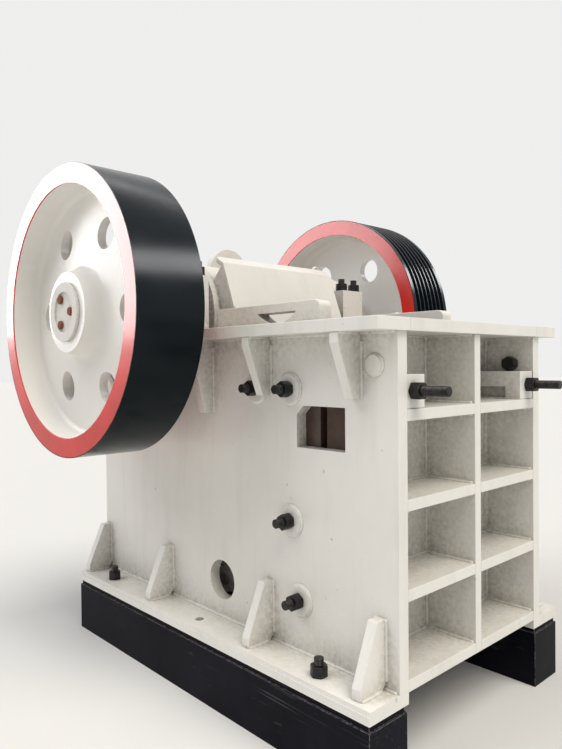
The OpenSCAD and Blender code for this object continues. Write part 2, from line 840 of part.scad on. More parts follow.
module end_cap_screws() {
    seat = hub_face + end_cap_t;
    color(rough) both_sides() at_shaft() for (a = [0, 120, 240])
        rod_y(seat, seat + end_screw_h, end_screw_pcr * cos(a), end_screw_pcr * sin(a), end_screw_w / 2, 6);
}

// Swing jaw

tilt = atan2(feed_gap - discharge_gap, jaw_top - jaw_bottom);
face_l = norm([feed_gap - discharge_gap, jaw_top - jaw_bottom]);
bore_r = eccentric_r + eccentric_throw + 5;

// X and Z of a point on the moving jaw plate: s behind its tooth tips and l above its lower end
function on_jaw(s, l) = at([fixed_face + discharge_gap + s * cos(tilt) + l * sin(tilt),
    jaw_bottom + l * cos(tilt) - s * sin(tilt)]);

// X and Z of a point given from the shaft's axis
function from_shaft(p) = [fx(shaft_d) + p[0], fz(shaft_h) + p[1]];

// Guard plate from its lower edge to its top, and the back of the swing jaw, from the shaft's axis
guard_points = [[424, -82], [393, 24], [338, 213], [250, 275]];
spine_points = [[-150, 0], [-170, -222]];
guard_line = [for (p = guard_points) from_shaft(p)];
guard_back = moved(guard_line, -guard_t);

// Toggle seat at the back of the swing jaw
toggle_seat_d = 975;
toggle_boss_d = toggle_seat_d + 40;
toggle_boss_top = 480;
toggle_boss_low = 250;

// Pockets between the swing jaw's ribs, open at the back
pocket_low = 455;
pocket_high = 900;
pocket_sill = 490;
pocket_roof = 1040;
pocket_peak_d = 1110;
pocket_back_d = 1540;
jaw_rib_t = 50;

jaw_lug_r = 58;

module swing_jaw_outline() {
    seat = moving_jaw_t + seat_gap;
    polygon(concat([on_jaw(seat, 0), on_jaw(seat, face_l)], guard_back,
        [from_shaft([0, barrel_r - barrel_room])], [for (p = spine_points) from_shaft(p)],
        [at([toggle_boss_d, toggle_boss_top]), at([toggle_boss_d, toggle_boss_low]),
            at([rod_pin_d + jaw_lug_r * sin(tilt), rod_h + jaw_lug_r * cos(tilt)]),
            at([rod_pin_d, rod_h - jaw_lug_r]), at([toggle_seat_d - 2 * jaw_lug_r, jaw_bottom])]));
    translate(at([rod_pin_d, rod_h])) circle(jaw_lug_r, $fn = small_n);
    translate(from_shaft([0, 0])) circle(barrel_r, $fn = round_n);
}

module swing_jaw_pocket() {
    front = moving_jaw_t + jaw_wall;
    polygon([on_jaw(front, pocket_low), on_jaw(front, pocket_high), at([pocket_peak_d, pocket_roof]),
        at([pocket_back_d, pocket_roof]), at([toggle_boss_d + 2 * eye_r, pocket_sill])]);
}

// Slot for a tension rod's eye, open at the back, and the hole for its pin
module rod_slot() {
    low = rod_y - eye_w / 2 - eye_room;
    high = rod_y + eye_w / 2 + eye_room;
    slot_r = eye_r + eye_room;
    rod_y(low, high, fx(rod_pin_d), fz(rod_h), slot_r, 48);
    block([fx(rod_pin_d + 2 * slot_r), low, fz(rod_h) - slot_r], [fx(rod_pin_d), high, fz(rod_h) + slot_r]);
    rod_y(rod_y - pin_l / 2 - 1, jaw_half + 1, fx(rod_pin_d), fz(rod_h), pin_r + run_gap, 64);
}

module swing_jaw() {
    color(paint) difference() {
        union() {
            along_y(-jaw_half, jaw_half) swing_jaw_outline();
            at_shaft() {
                rod_y(-barrel_half, barrel_half, 0, 0, barrel_r - barrel_step, round_n);
                for (s = [0, 1]) mirror([0, s, 0])
                    rod_y(barrel_half - barrel_collar_w, barrel_half, 0, 0, barrel_r - seat_gap, round_n);
            }
        }
        at_shaft() rod_y(-barrel_half - 1, barrel_half + 1, 0, 0, bore_r, round_n);
        both_sides() {
            along_y(jaw_rib_t / 2, jaw_half - jaw_rib_t) swing_jaw_pocket();
            rod_slot();
        }
        along_y(-toggle_half - toggle_end_gap, toggle_half + toggle_end_gap) toggle_outline(seat_gap);
    }
}

// What the round upper corners take off the guard plate, seen along X
module guard_corner_cut() {
    top = guard_points[len(guard_points) - 1][1] + guard_t;
    translate([jaw_half - guard_corner_r, fz(shaft_h) + top - guard_corner_r]) difference() {
        square(guard_corner_r + 1);
        circle(guard_corner_r, $fn = small_n);
    }
}

module jaw_guard() {
    color(paint) difference() {
        along_y(-jaw_half, jaw_half) polygon(concat(guard_line, backwards(guard_back)));
        both_sides() along_x(fx(shaft_d), fx(fixed_face)) guard_corner_cut();
    }
}

module lifting_lug() {
    color(paint) at_shaft() difference() {
        translate([-lug_back - lug_t / 2, 0, 0]) union() {
            rod_x(0, lug_t, 0, lug_rise, lug_r, 64);
            translate([0, -lug_r, 0]) cube([lug_t, 2 * lug_r, lug_rise]);
        }
        rod_x(-lug_back - lug_t, -lug_back + lug_t, 0, lug_rise, lug_hole_r, 48);
        rod_y(-lug_r - 1, lug_r + 1, 0, 0, barrel_r + seat_gap, round_n);
    }
}

module moving_jaw_plate() {
    foot = on_jaw(tooth_h, 0);
    color(rough) translate([foot[0], 0, foot[1]]) rotate([0, -tilt, 0])
        linear_extrude(face_l) rotate([0, 0, -90]) mirror([1, 0]) toothed_outline(moving_half, moving_jaw_t);
}

// Toggle

block_d = wall_len - plate_back - shim_count * shim_t - toggle_block_l;
seat_depth = 14;
toggle_l = norm([block_d + seat_depth - toggle_seat_d, toggle_rear_h - toggle_front_h]);
toggle_rise = atan2(toggle_rear_h - toggle_front_h, block_d + seat_depth - toggle_seat_d);

// A strip with round ends between the seats of the swing jaw and of the block
module toggle_outline(extra = 0) {
    r = toggle_t / 2;
    translate(at([toggle_seat_d, toggle_front_h])) rotate(180 - toggle_rise) {
        translate([r, -r - extra]) square([toggle_l - 2 * r, toggle_t + 2 * extra]);
        for (s = [r, toggle_l - r]) translate([s, 0]) circle(r + extra, $fn = 64);
    }
}

module toggle_plate() {
    color(rough) along_y(-toggle_half, toggle_half) toggle_outline();
}

toggle_half = jaw_half - toggle_side;
block_low = toggle_rear_h - toggle_block_h / 2;
shim_half = wall_in - guide_w;
shim_shift = 6;
shim_h = toggle_block_h - 2 * shim_shift;

module toggle_block() {
    color(paint) difference() {
        block([fx(block_d + toggle_block_l), -wall_in + seat_gap, fz(block_low)],
            [fx(block_d), wall_in - seat_gap, fz(block_low + toggle_block_h)]);
        along_y(-toggle_half - toggle_end_gap, toggle_half + toggle_end_gap) toggle_outline(seat_gap);
    }
}

module toggle_guides() {
    color(paint) both_sides() for (h = [block_low - guide_h, block_low + toggle_block_h + seat_gap])
        block([fx(wall_len - plate_back), wall_in - guide_w, fz(h)],
            [fx(block_d - guide_reach), wall_in, fz(h + guide_h)]);
}

module shim_pack() {
    color(bare) for (i = [0:shim_count - 1])
        block([fx(wall_len - plate_back) + i * shim_t, -shim_half + i % 2 * shim_shift, fz(block_low)],
            [fx(wall_len - plate_back) + (i + 1) * shim_t, shim_half + i % 2 * shim_shift,
                fz(block_low + shim_h)]);
}

// Tension rods

pin_r = 26;
pin_l = 180;
pin_end = 10;
eye_r = 46;
eye_w = 50;
washer_r = spring_r + spring_wire_r + 2;
nut_d = wall_len - rib_depth + spring_l + ring_t;

module tension_rods() {
    color(bare) both_sides() difference() {
        union() {
            rod_x(fx(nut_d + 2 * nut_h + bolt_end), fx(rod_pin_d), rod_y, fz(rod_h), rod_r);
            rod_y(rod_y - eye_w / 2, rod_y + eye_w / 2, fx(rod_pin_d), fz(rod_h), eye_r, 48);
            rod_x(fx(nut_d), fx(nut_d - ring_t), rod_y, fz(rod_h), washer_r, 48);
            rod_x(fx(nut_d + 2 * nut_h), fx(nut_d), rod_y, fz(rod_h), hex_r, 6);
        }
        rod_y(rod_y - eye_w, rod_y + eye_w, fx(rod_pin_d), fz(rod_h), pin_r + run_gap, 64);
    }
}

module rod_pins() {
    color(bare) both_sides()
        rod_y(rod_y - pin_l / 2, jaw_half + pin_end, fx(rod_pin_d), fz(rod_h), pin_r, 64);
}

spring_turns = 6;
spring_steps = 14;
spring_sides = 8;

// Centre line of a spring with its ends closed, from the rear plate to the washer
function coil(i) = let (n = spring_turns * spring_steps, a = 360 * i / spring_steps, t = i / n,
    rise = (spring_l - 2 * spring_wire_r - 2 * seat_gap) * t)
    [-rise - spring_wire_r - seat_gap, spring_r * cos(a), spring_r * sin(a)];

module tension_springs() {
    n = spring_turns * spring_steps;
    rings = [for (i = [0:n]) let (a = 360 * i / spring_steps, c = coil(i))
        for (j = [0:spring_sides - 1]) let (b = 360 * (j + 0.5) / spring_sides)
            c + spring_wire_r * [sin(b), cos(b) * cos(a), cos(b) * sin(a)]];
    sides = [for (i = [0:n - 1]) for (j = [0:spring_sides - 1]) let (k = (j + 1) % spring_sides)
        [i * spring_sides + j, i * spring_sides + k, (i + 1) * spring_sides + k,
            (i + 1) * spring_sides + j]];
    ends = [[for (j = [spring_sides - 1:-1:0]) j], [for (j = [0:spring_sides - 1]) n * spring_sides + j]];
    color(black) both_sides() translate([fx(wall_len - rib_depth), rod_y, fz(rod_h)])
        polyhedron(rings, concat(sides, ends));
}

base_side_beams();
base_cross_beams();
foot_plates();
foot_bolts();
side_wall_left();
side_wall_right();
front_plate();
front_ribs();
front_centre_rib();
rear_plate();
rear_ribs();
rear_centre_rib();
top_flange_sides();
top_flange_ends();
foot_gussets();
flange_gussets();
saddle_gussets();
stud_blocks();
jaw_studs();
wall_rings();
cheek_bolts();
upper_cheek_plates();
lower_cheek_plates();
fixed_jaw_plate();
bearing_seats();
bearing_caps();
bearing_covers();
main_bearings();
cap_bolts();
eccentric_shaft();
flywheel();
belt_pulley();
wheel_end_caps();
end_cap_screws();
swing_jaw();
jaw_guard();
lifting_lug();
moving_jaw_plate();
toggle_plate();
toggle_block();
toggle_guides();
shim_pack();
tension_rods();
rod_pins();
tension_springs();
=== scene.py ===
import json
import math

import bmesh
import bpy
from mathutils import Matrix, Vector

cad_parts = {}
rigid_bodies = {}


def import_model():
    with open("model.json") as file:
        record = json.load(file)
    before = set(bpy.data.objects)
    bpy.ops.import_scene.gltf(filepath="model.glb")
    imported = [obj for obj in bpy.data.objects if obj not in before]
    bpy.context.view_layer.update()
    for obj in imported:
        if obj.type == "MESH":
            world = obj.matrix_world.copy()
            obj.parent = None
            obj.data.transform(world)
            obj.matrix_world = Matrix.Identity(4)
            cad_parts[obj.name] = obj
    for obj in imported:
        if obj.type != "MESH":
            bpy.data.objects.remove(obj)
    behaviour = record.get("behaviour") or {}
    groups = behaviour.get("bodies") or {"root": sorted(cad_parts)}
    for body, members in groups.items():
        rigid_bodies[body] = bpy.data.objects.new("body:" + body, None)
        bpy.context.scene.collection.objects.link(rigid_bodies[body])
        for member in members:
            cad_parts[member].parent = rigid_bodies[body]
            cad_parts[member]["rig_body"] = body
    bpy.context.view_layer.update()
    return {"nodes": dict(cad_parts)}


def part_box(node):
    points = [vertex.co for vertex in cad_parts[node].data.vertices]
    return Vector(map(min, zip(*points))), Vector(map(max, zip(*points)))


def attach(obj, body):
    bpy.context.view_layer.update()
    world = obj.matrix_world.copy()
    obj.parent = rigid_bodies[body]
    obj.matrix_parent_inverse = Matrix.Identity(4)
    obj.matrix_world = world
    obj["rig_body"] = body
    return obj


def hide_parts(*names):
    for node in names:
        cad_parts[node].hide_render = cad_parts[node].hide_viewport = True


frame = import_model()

bl_info = {
    "name": "Jaw crusher",
    "version": (1, 0, 0),
    "blender": (4, 5, 0),
    "location": "View3D > Sidebar > Jaw crusher",
    "description": "Dresses the solids of a jaw crusher with paint, welds, threads and cast edges",
    "category": "Object",
}

# Places of the solids that the pieces below are built against, in metres
WHEEL_LOW, WHEEL_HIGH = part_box("belt_pulley")
SHAFT = Vector(((WHEEL_LOW.x + WHEEL_HIGH.x) / 2, 0, (WHEEL_LOW.z + WHEEL_HIGH.z) / 2))
RIM_R = (WHEEL_HIGH.x - WHEEL_LOW.x) / 2
WALL_LOW, WALL_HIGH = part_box("side_wall_left")
FOOT_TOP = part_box("foot_plates")[1].z
FLANGE_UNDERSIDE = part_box("top_flange_sides")[0].z
FRONT_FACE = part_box("front_plate")[1].x
RIB_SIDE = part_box("front_centre_rib")[1].y

X_AXIS, Y_AXIS, Z_AXIS = Vector((1, 0, 0)), Vector((0, 1, 0)), Vector((0, 0, 1))


# Settings that a user would change

def length_setting(name, default, description, min=0.0):
    return bpy.props.FloatProperty(name=name, description=description, default=default, min=min,
                                   unit="LENGTH")


def colour_setting(name, default, description):
    return bpy.props.FloatVectorProperty(name=name, description=description, default=default, size=3,
                                         min=0, max=1, subtype="COLOR")


class FinishSettings(bpy.types.PropertyGroup):
    enamel: colour_setting("Enamel", (0.84, 0.82, 0.78), "Colour of the frame's paint")
    rim_red: colour_setting("Rim red", (0.70, 0.018, 0.010), "Colour of the rings on the wheels' faces")
    rim_black: colour_setting("Rim black", (0.004, 0.008, 0.011), "Colour of the wheels' rims")
    base_black: colour_setting("Base black", (0.005, 0.005, 0.008), "Colour of the base beams")
    casting_brown: colour_setting("Casting brown", (0.085, 0.045, 0.030), "Colour of the unpainted castings")
    rust: colour_setting("Rust", (0.26, 0.075, 0.025), "Colour of the rust")
    # The dirt colour, made darker, also paints shade into the enamel's recesses.
    dirt: colour_setting("Dirt", (0.27, 0.235, 0.18), "Colour of the dust and dirt")


class EdgeSettings(bpy.types.PropertyGroup):
    plate: length_setting("Plates", 0.0025, "Radius of the plates' edges")
    casting: length_setting("Castings", 0.007, "Radius of the castings' edges")
    machined: length_setting("Machined", 0.0012, "Radius of machined edges")


class WeldSettings(bpy.types.PropertyGroup):
    leg: length_setting("Leg", 0.009, "Radius of a weld bead", min=0.002)
    pitch: length_setting("Pitch", 0.009, "Distance between the ripples of a weld", min=0.003)
    ripple: bpy.props.FloatProperty(
        name="Ripple", description="Share by which a ripple changes the bead's radius", default=0.10, min=0,
        max=0.5)


class FastenerSettings(bpy.types.PropertyGroup):
    bolt_r: length_setting("Bolt radius", 0.018, "Radius of the large bolts")
    across_flats: length_setting("Across flats", 0.055, "Width across the flats of the large nuts")
    nut_h: length_setting("Nut height", 0.039, "Height of a large nut")
    thread_pitch: length_setting("Thread pitch", 0.004, "Distance from thread to thread")
    thread_depth: length_setting("Thread depth", 0.0022, "Depth of the threads")


class WheelSettings(bpy.types.PropertyGroup):
    rim_t: length_setting("Rim", 0.084, "Thickness of the rims")
    web_t: length_setting("Web", 0.040, "Thickness of the webs")
    web_recess: length_setting("Recess", 0.100, "Distance from the outer face to the web at the hub")
    web_dish: length_setting("Dish", 0.028, "Extra distance to the web at the rim")
    hub_r: length_setting("Hub", 0.173, "Radius of the hub at its face")
    hub_taper: length_setting("Hub taper", 0.017, "Growth of the hub's radius towards the web")
    hub_recess: length_setting("Hub recess", 0.024, "Distance from the outer face to the hub's face")
    bore_r: length_setting("Bore", 0.0741, "Radius of the wheels' bores")
    hole_r: length_setting("Holes", 0.067, "Radius of the holes in the webs")
    hole_pcr: length_setting("Hole circle", 0.373, "Radius of the circle of holes")
    hole_count: bpy.props.IntProperty(
        name="Hole count", description="Number of holes in a web", default=6, min=3, max=10)
    fillet: length_setting("Fillet", 0.030, "Radius of the cast fillets at the web")
    edge: length_setting("Edge", 0.004, "Radius of the rims' edges")
    groove_count: bpy.props.IntProperty(
        name="Grooves", description="Number of belt grooves", default=7, min=1, max=9)
    groove_pitch: length_setting("Groove pitch", 0.037, "Distance from groove to groove")
    groove_depth: length_setting("Groove depth", 0.028, "Depth of the belt grooves")
    groove_top: length_setting("Groove top", 0.030, "Width of a groove at the top")
    groove_bottom: length_setting("Groove bottom", 0.012, "Width of a groove at the bottom")
    disc_r: length_setting("Disc", 0.128, "Radius of the discs over the shaft's ends")
    disc_t: length_setting("Disc thickness", 0.016, "Thickness of these discs")
    disc_recess_r: length_setting("Disc recess", 0.086, "Radius of the recess in each disc")
    disc_recess: length_setting("Disc recess depth", 0.010, "Depth of this recess")
    screw_pcr: length_setting("Screw circle", 0.062, "Radius of the circle of screws in a disc")
    screw_w: length_setting("Screw width", 0.032, "Width of a screw's head across its flats")
    screw_h: length_setting("Screw height", 0.012, "Height of a screw's head")


class JawSettings(bpy.types.PropertyGroup):
    barrel_r: length_setting("Barrel", 0.265, "Radius of the swing jaw's barrel")
    collar_r: length_setting("Collar", 0.294, "Radius of the collars at the barrel's ends")
    collar_w: length_setting("Collar width", 0.026, "Width of these collars")
    collar_step: length_setting("Collar step", 0.006, "Height of a collar over the ring beside it")
    guard_t: length_setting("Guard", 0.022, "Thickness of the folded guard plate")
    guard_corner: length_setting("Guard corners", 0.030, "Radius of the guard's upper corners")
    lug_r: length_setting("Lug", 0.125, "Radius of the lifting lug")
    lug_t: length_setting("Lug thickness", 0.040, "Thickness of the lifting lug")
    lug_hole_r: length_setting("Lug hole", 0.045, "Radius of the hole in the lug")


class StageSettings(bpy.types.PropertyGroup):
    floor: colour_setting("Floor", (0.72, 0.715, 0.705), "Colour of the floor")
    sky: colour_setting("Backdrop", (0.86, 0.86, 0.855), "Colour behind the floor")
    fill: bpy.props.FloatProperty(
        name="Fill", description="Strength of the light from all sides", default=0.27, min=0)
    side: bpy.props.FloatProperty(
        name="Side", description="Strength of the light on the flywheel's side", default=1.3, min=0)
    front: bpy.props.FloatProperty(
        name="Front", description="Strength of the light on the front wall", default=2.5, min=0)
    gloss: bpy.props.FloatProperty(
        name="Gloss", description="Strength of the panels that show in the wheels' gloss", default=11.0,
        min=0)


class CrusherSettings(bpy.types.PropertyGroup):
    finish: bpy.props.PointerProperty(type=FinishSettings)
    edges: bpy.props.PointerProperty(type=EdgeSettings)
    welds: bpy.props.PointerProperty(type=WeldSettings)
    fasteners: bpy.props.PointerProperty(type=FastenerSettings)
    wheels: bpy.props.PointerProperty(type=WheelSettings)
    jaw: bpy.props.PointerProperty(type=JawSettings)
    stage: bpy.props.PointerProperty(type=StageSettings)


def settings():
    return bpy.context.scene.crusher


# Shader nodes

def add_node(tree, kind, inputs=None, **values):
    made = tree.nodes.new(kind)
    for name, value in values.items():
        setattr(made, name, value)
    for socket, value in (inputs or {}).items():
        if isinstance(value, bpy.types.NodeSocket):
            tree.links.new(value, made.inputs[socket])
        else:
            made.inputs[socket].default_value = value
    return made


def calc(tree, operation, a, b=0.0, c=0.0, clamp=False):
    made = add_node(tree, "ShaderNodeMath", {0: a, 1: b, 2: c}, operation=operation, use_clamp=clamp)
    return made.outputs[0]


def step_up(tree, value, low, high):
    """0 below low, 1 above high and a straight rise between them."""
    made = add_node(tree, "ShaderNodeMapRange", {"Value": value, "From Min": low, "From Max": high})
    return made.outputs["Result"]


def noise(tree, vector, scale, detail=4.0, roughness=0.55):
    made = add_node(tree, "ShaderNodeTexNoise", {
        "Vector": vector, "Scale": scale, "Detail": detail, "Roughness": roughness})
    return made.outputs["Fac"]


def stretched(tree, vector, scale):
    return add_node(tree, "ShaderNodeMapping", {"Vector": vector, "Scale": scale}).outputs["Vector"]


def blended(tree, mask, under, over):
    """Colour under where the mask is 0, and over where it is 1."""
    made = add_node(tree, "ShaderNodeMix", data_type="RGBA")
    for socket, value in ((made.inputs[0], mask), (made.inputs[6], under), (made.inputs[7], over)):
        if isinstance(value, bpy.types.NodeSocket):
            tree.links.new(value, socket)
        else:
            socket.default_value = value if isinstance(value, float) else (*value, 1.0)
    return made.outputs[2]


def faded(tree, mask, under, over):
    """Value under where the mask is 0, and over where it is 1."""
    made = add_node(tree, "ShaderNodeMix", {0: mask, 2: under, 3: over}, data_type="FLOAT")
    return made.outputs[0]


def shade(colour, factor):
    return tuple(c * factor for c in colour)


def node_group(name, ins, outs, build):
    """A shader node group with named float or vector inputs, made once."""
    tree = bpy.data.node_groups.get(name)
    if tree:
        return tree
    tree = bpy.data.node_groups.new(name, "ShaderNodeTree")
    for label, kind, value in ins:
        socket = tree.interface.new_socket(label, in_out="INPUT", socket_type=kind)
        if kind == "NodeSocketFloat":
            socket.default_value = value
    for label in outs:
        tree.interface.new_socket(label, in_out="OUTPUT", socket_type="NodeSocketFloat")
    entry, leave = tree.nodes.new("NodeGroupInput"), tree.nodes.new("NodeGroupOutput")
    for label, socket in build(tree, entry.outputs).items():
        tree.links.new(socket, leave.inputs[label])
    return tree


def placed(tree, group, **inputs):
    made = tree.nodes.new("ShaderNodeGroup")
    made.node_tree = group
    for label, value in inputs.items():
        socket = made.inputs[label.replace("_", " ").capitalize()]
        if isinstance(value, bpy.types.NodeSocket):
            tree.links.new(value, socket)
        else:
            socket.default_value = value
    return made.outputs


def masked(tree, place, group, **inputs):
    """The mask that an effect's group gives with its own values."""
    return placed(tree, group, vector=place, **inputs)["Mask"]


FLOAT, VECTOR = "NodeSocketFloat", "NodeSocketVector"


def coat_group():
    """Orange peel and slow waves of a sprayed coat, as a height."""
    def build(tree, given):
        peel = noise(tree, given["Vector"], given["Peel scale"], 2.0)
        waves = noise(tree, given["Vector"], given["Wave scale"], 2.0)
        rough = calc(tree, "MULTIPLY", peel, given["Peel"])
        return {"Height": calc(tree, "MULTIPLY_ADD", waves, given["Wave"], rough)}
    return node_group("Sprayed coat", [
        ("Vector", VECTOR, None), ("Peel scale", FLOAT, 260.0), ("Peel", FLOAT, 0.5),
        ("Wave scale", FLOAT, 6.0), ("Wave", FLOAT, 1.0)], ["Height"], build)


def grime_and_shade_group():
    """Dirt in corners and in soft clouds; with a long reach and no clouds, painted shade in recesses."""
    def build(tree, given):
        corners = add_node(tree, "ShaderNodeAmbientOcclusion", {"Distance": given["Reach"]}, samples=6)
        deep = step_up(tree, corners.outputs["AO"], 0.85, 0.25)
        clouds = step_up(tree, noise(tree, given["Vector"], 5.0, 6.0, 0.65), 0.42, 0.72)
        fine = step_up(tree, noise(tree, given["Vector"], 60.0, 4.0), 0.35, 0.75)
        broken = calc(tree, "MULTIPLY", deep, calc(tree, "MULTIPLY_ADD", fine, 0.7, 0.3))
        mixed = calc(tree, "MULTIPLY_ADD", clouds, given["Clouds"], broken)
        return {"Mask": calc(tree, "MULTIPLY", mixed, given["Amount"], clamp=True)}
    return node_group("Grime and shade", [
        ("Vector", VECTOR, None), ("Reach", FLOAT, 0.06), ("Clouds", FLOAT, 0.15),
        ("Amount", FLOAT, 0.5)], ["Mask"], build)


def dust_group():
    """Dust that lies on faces that point up."""
    def build(tree, given):
        normal = add_node(tree, "ShaderNodeNewGeometry").outputs["Normal"]
        up = add_node(tree, "ShaderNodeSeparateXYZ", {0: normal}).outputs["Z"]
        flat = step_up(tree, up, 0.55, 0.98)
        patches = step_up(tree, noise(tree, given["Vector"], 14.0, 6.0, 0.7), 0.30, 0.75)
        return {"Mask": calc(tree, "MULTIPLY", calc(tree, "MULTIPLY", flat, patches), given["Amount"])}
    return node_group("Dust", [("Vector", VECTOR, None), ("Amount", FLOAT, 0.3)], ["Mask"], build)


def rub_group():
    """Edges where the finish is rubbed off."""
    def build(tree, given):
        plain = add_node(tree, "ShaderNodeNewGeometry").outputs["Normal"]
        round_off = add_node(tree, "ShaderNodeBevel", {"Radius": given["Radius"]}, samples=4)
        dot = add_node(tree, "ShaderNodeVectorMath", {0: plain, 1: round_off.outputs[0]},
                       operation="DOT_PRODUCT").outputs["Value"]
        edge = step_up(tree, dot, 0.995, 0.93)
        chips = step_up(tree, noise(tree, given["Vector"], 90.0, 5.0, 0.7), 0.42, 0.62)
        return {"Mask": calc(tree, "MULTIPLY", edge, chips)}
    return node_group("Rubbed edges", [("Vector", VECTOR, None), ("Radius", FLOAT, 0.004)], ["Mask"], build)


def scratch_group():
    """Thin scratches, mostly along X."""
    def build(tree, given):
        lines = []
        for scale in ((1.2, 40.0, 90.0), (3.0, 60.0, 25.0)):
            vector = stretched(tree, given["Vector"], scale)
            lines.append(step_up(tree, noise(tree, vector, 2.2, 3.0, 0.5), 0.665, 0.70))
        both = calc(tree, "MAXIMUM", lines[0], lines[1])
        gate = step_up(tree, noise(tree, given["Vector"], 2.5, 2.0), 0.48, 0.6)
        return {"Mask": calc(tree, "MULTIPLY", calc(tree, "MULTIPLY", both, gate), given["Amount"])}
    return node_group("Scratches", [("Vector", VECTOR, None), ("Amount", FLOAT, 1.0)], ["Mask"], build)


def start_material(name):
    made = bpy.data.materials.new(name)
    made.use_nodes = True
    tree = made.node_tree
    place = add_node(tree, "ShaderNodeTexCoord").outputs["Object"]
    return made, tree, tree.nodes["Principled BSDF"], place


def raised(tree, shader, height, depth):
    bump = add_node(tree, "ShaderNodeBump", {"Height": height, "Distance": depth, "Strength": 1.0})
    tree.links.new(bump.outputs["Normal"], shader.inputs["Normal"])


def coated(tree, shader, place, peel, wave, depth):
    """The relief of a sprayed coat."""
    raised(tree, shader, placed(tree, coat_group(), vector=place, peel=peel, wave=wave)["Height"], depth)


def joined_to(tree, socket, shader, name):
    tree.links.new(socket, shader.inputs[name])


def casting_scale(tree, place):
    """The brown scale of an unpainted casting, and the clouds that it follows."""
    brown = settings().finish.casting_brown
    clouds = step_up(tree, noise(tree, place, 11.0, 7.0, 0.68), 0.32, 0.68)
    return blended(tree, clouds, brown, shade(brown, 0.40)), clouds


def enamel_material(name, peel, wave, grime, depth, bare_below=None):
    """The frame's off-white enamel over plate or over a rough casting, left off below a height."""
    finish = settings().finish
    made, tree, shader, place = start_material(name)
    tint = noise(tree, place, 2.2, 5.0, 0.6)
    warmer = [channel * share for channel, share in zip(finish.enamel, (0.975, 0.975, 0.955))]
    colour = blended(tree, step_up(tree, tint, 0.35, 0.7), finish.enamel, warmer)
    runs = noise(tree, stretched(tree, place, (9.0, 9.0, 0.9)), 1.6, 5.0, 0.6)
    streaks = calc(tree, "MULTIPLY", step_up(tree, runs, 0.50, 0.75), 0.10)
    colour = blended(tree, streaks, colour, finish.dirt)
    dirty = masked(tree, place, grime_and_shade_group(), amount=grime, reach=0.09, clouds=0.10)
    colour = blended(tree, dirty, colour, finish.dirt)
    # Painted shade: a long-reach occlusion mask darkens recesses and the faces under overhangs with a darker
    # dirt colour.
    painted_shade = masked(tree, place, grime_and_shade_group(), amount=0.45, reach=0.30, clouds=0.0)
    colour = blended(tree, painted_shade, colour, shade(finish.dirt, 0.32))
    dusty = masked(tree, place, dust_group(), amount=0.16)
    colour = blended(tree, dusty, colour, shade(finish.dirt, 1.5))
    specks = calc(tree, "MULTIPLY", step_up(tree, noise(tree, place, 30.0, 2.0, 0.4), 0.765, 0.79), 0.35)
    colour = blended(tree, specks, colour, shade(finish.dirt, 0.5))
    if bare_below is not None:
        level = add_node(tree, "ShaderNodeSeparateXYZ", {0: place}).outputs["Z"]
        scale = casting_scale(tree, place)[0]
        colour = blended(tree, calc(tree, "LESS_THAN", level, bare_below), colour, scale)
    joined_to(tree, colour, shader, "Base Color")
    worn = calc(tree, "MULTIPLY_ADD", tint, 0.20, 0.24)
    joined_to(tree, faded(tree, dirty, worn, 0.75), shader, "Roughness")
    shader.inputs["Coat Weight"].default_value = 0.15
    shader.inputs["Coat Roughness"].default_value = 0.20
    coated(tree, shader, place, peel, wave, depth)
    return made


def base_material():
    """Semi-gloss black over steel, with scratches that show grey."""
    finish = settings().finish
    made, tree, shader, place = start_material("Base black")
    clouds = noise(tree, place, 3.0, 6.0, 0.6)
    colour = blended(tree, step_up(tree, clouds, 0.35, 0.7), finish.base_black,
                     shade(finish.base_black, 2.2))
    scratched = masked(tree, place, scratch_group(), amount=0.22)
    colour = blended(tree, scratched, colour, (0.20, 0.20, 0.22))
    rubbed = masked(tree, place, rub_group(), radius=0.004)
    colour = blended(tree, rubbed, colour, (0.35, 0.34, 0.33))
    dusty = masked(tree, place, dust_group(), amount=0.20)
    colour = blended(tree, dusty, colour, shade(finish.dirt, 0.8))
    joined_to(tree, colour, shader, "Base Color")
    joined_to(tree, faded(tree, dusty, calc(tree, "MULTIPLY_ADD", clouds, 0.25, 0.22), 0.85),
              shader, "Roughness")
    shader.inputs["Specular IOR Level"].default_value = 0.04
    coated(tree, shader, place, 0.4, 1.2, 0.0008)
    return made


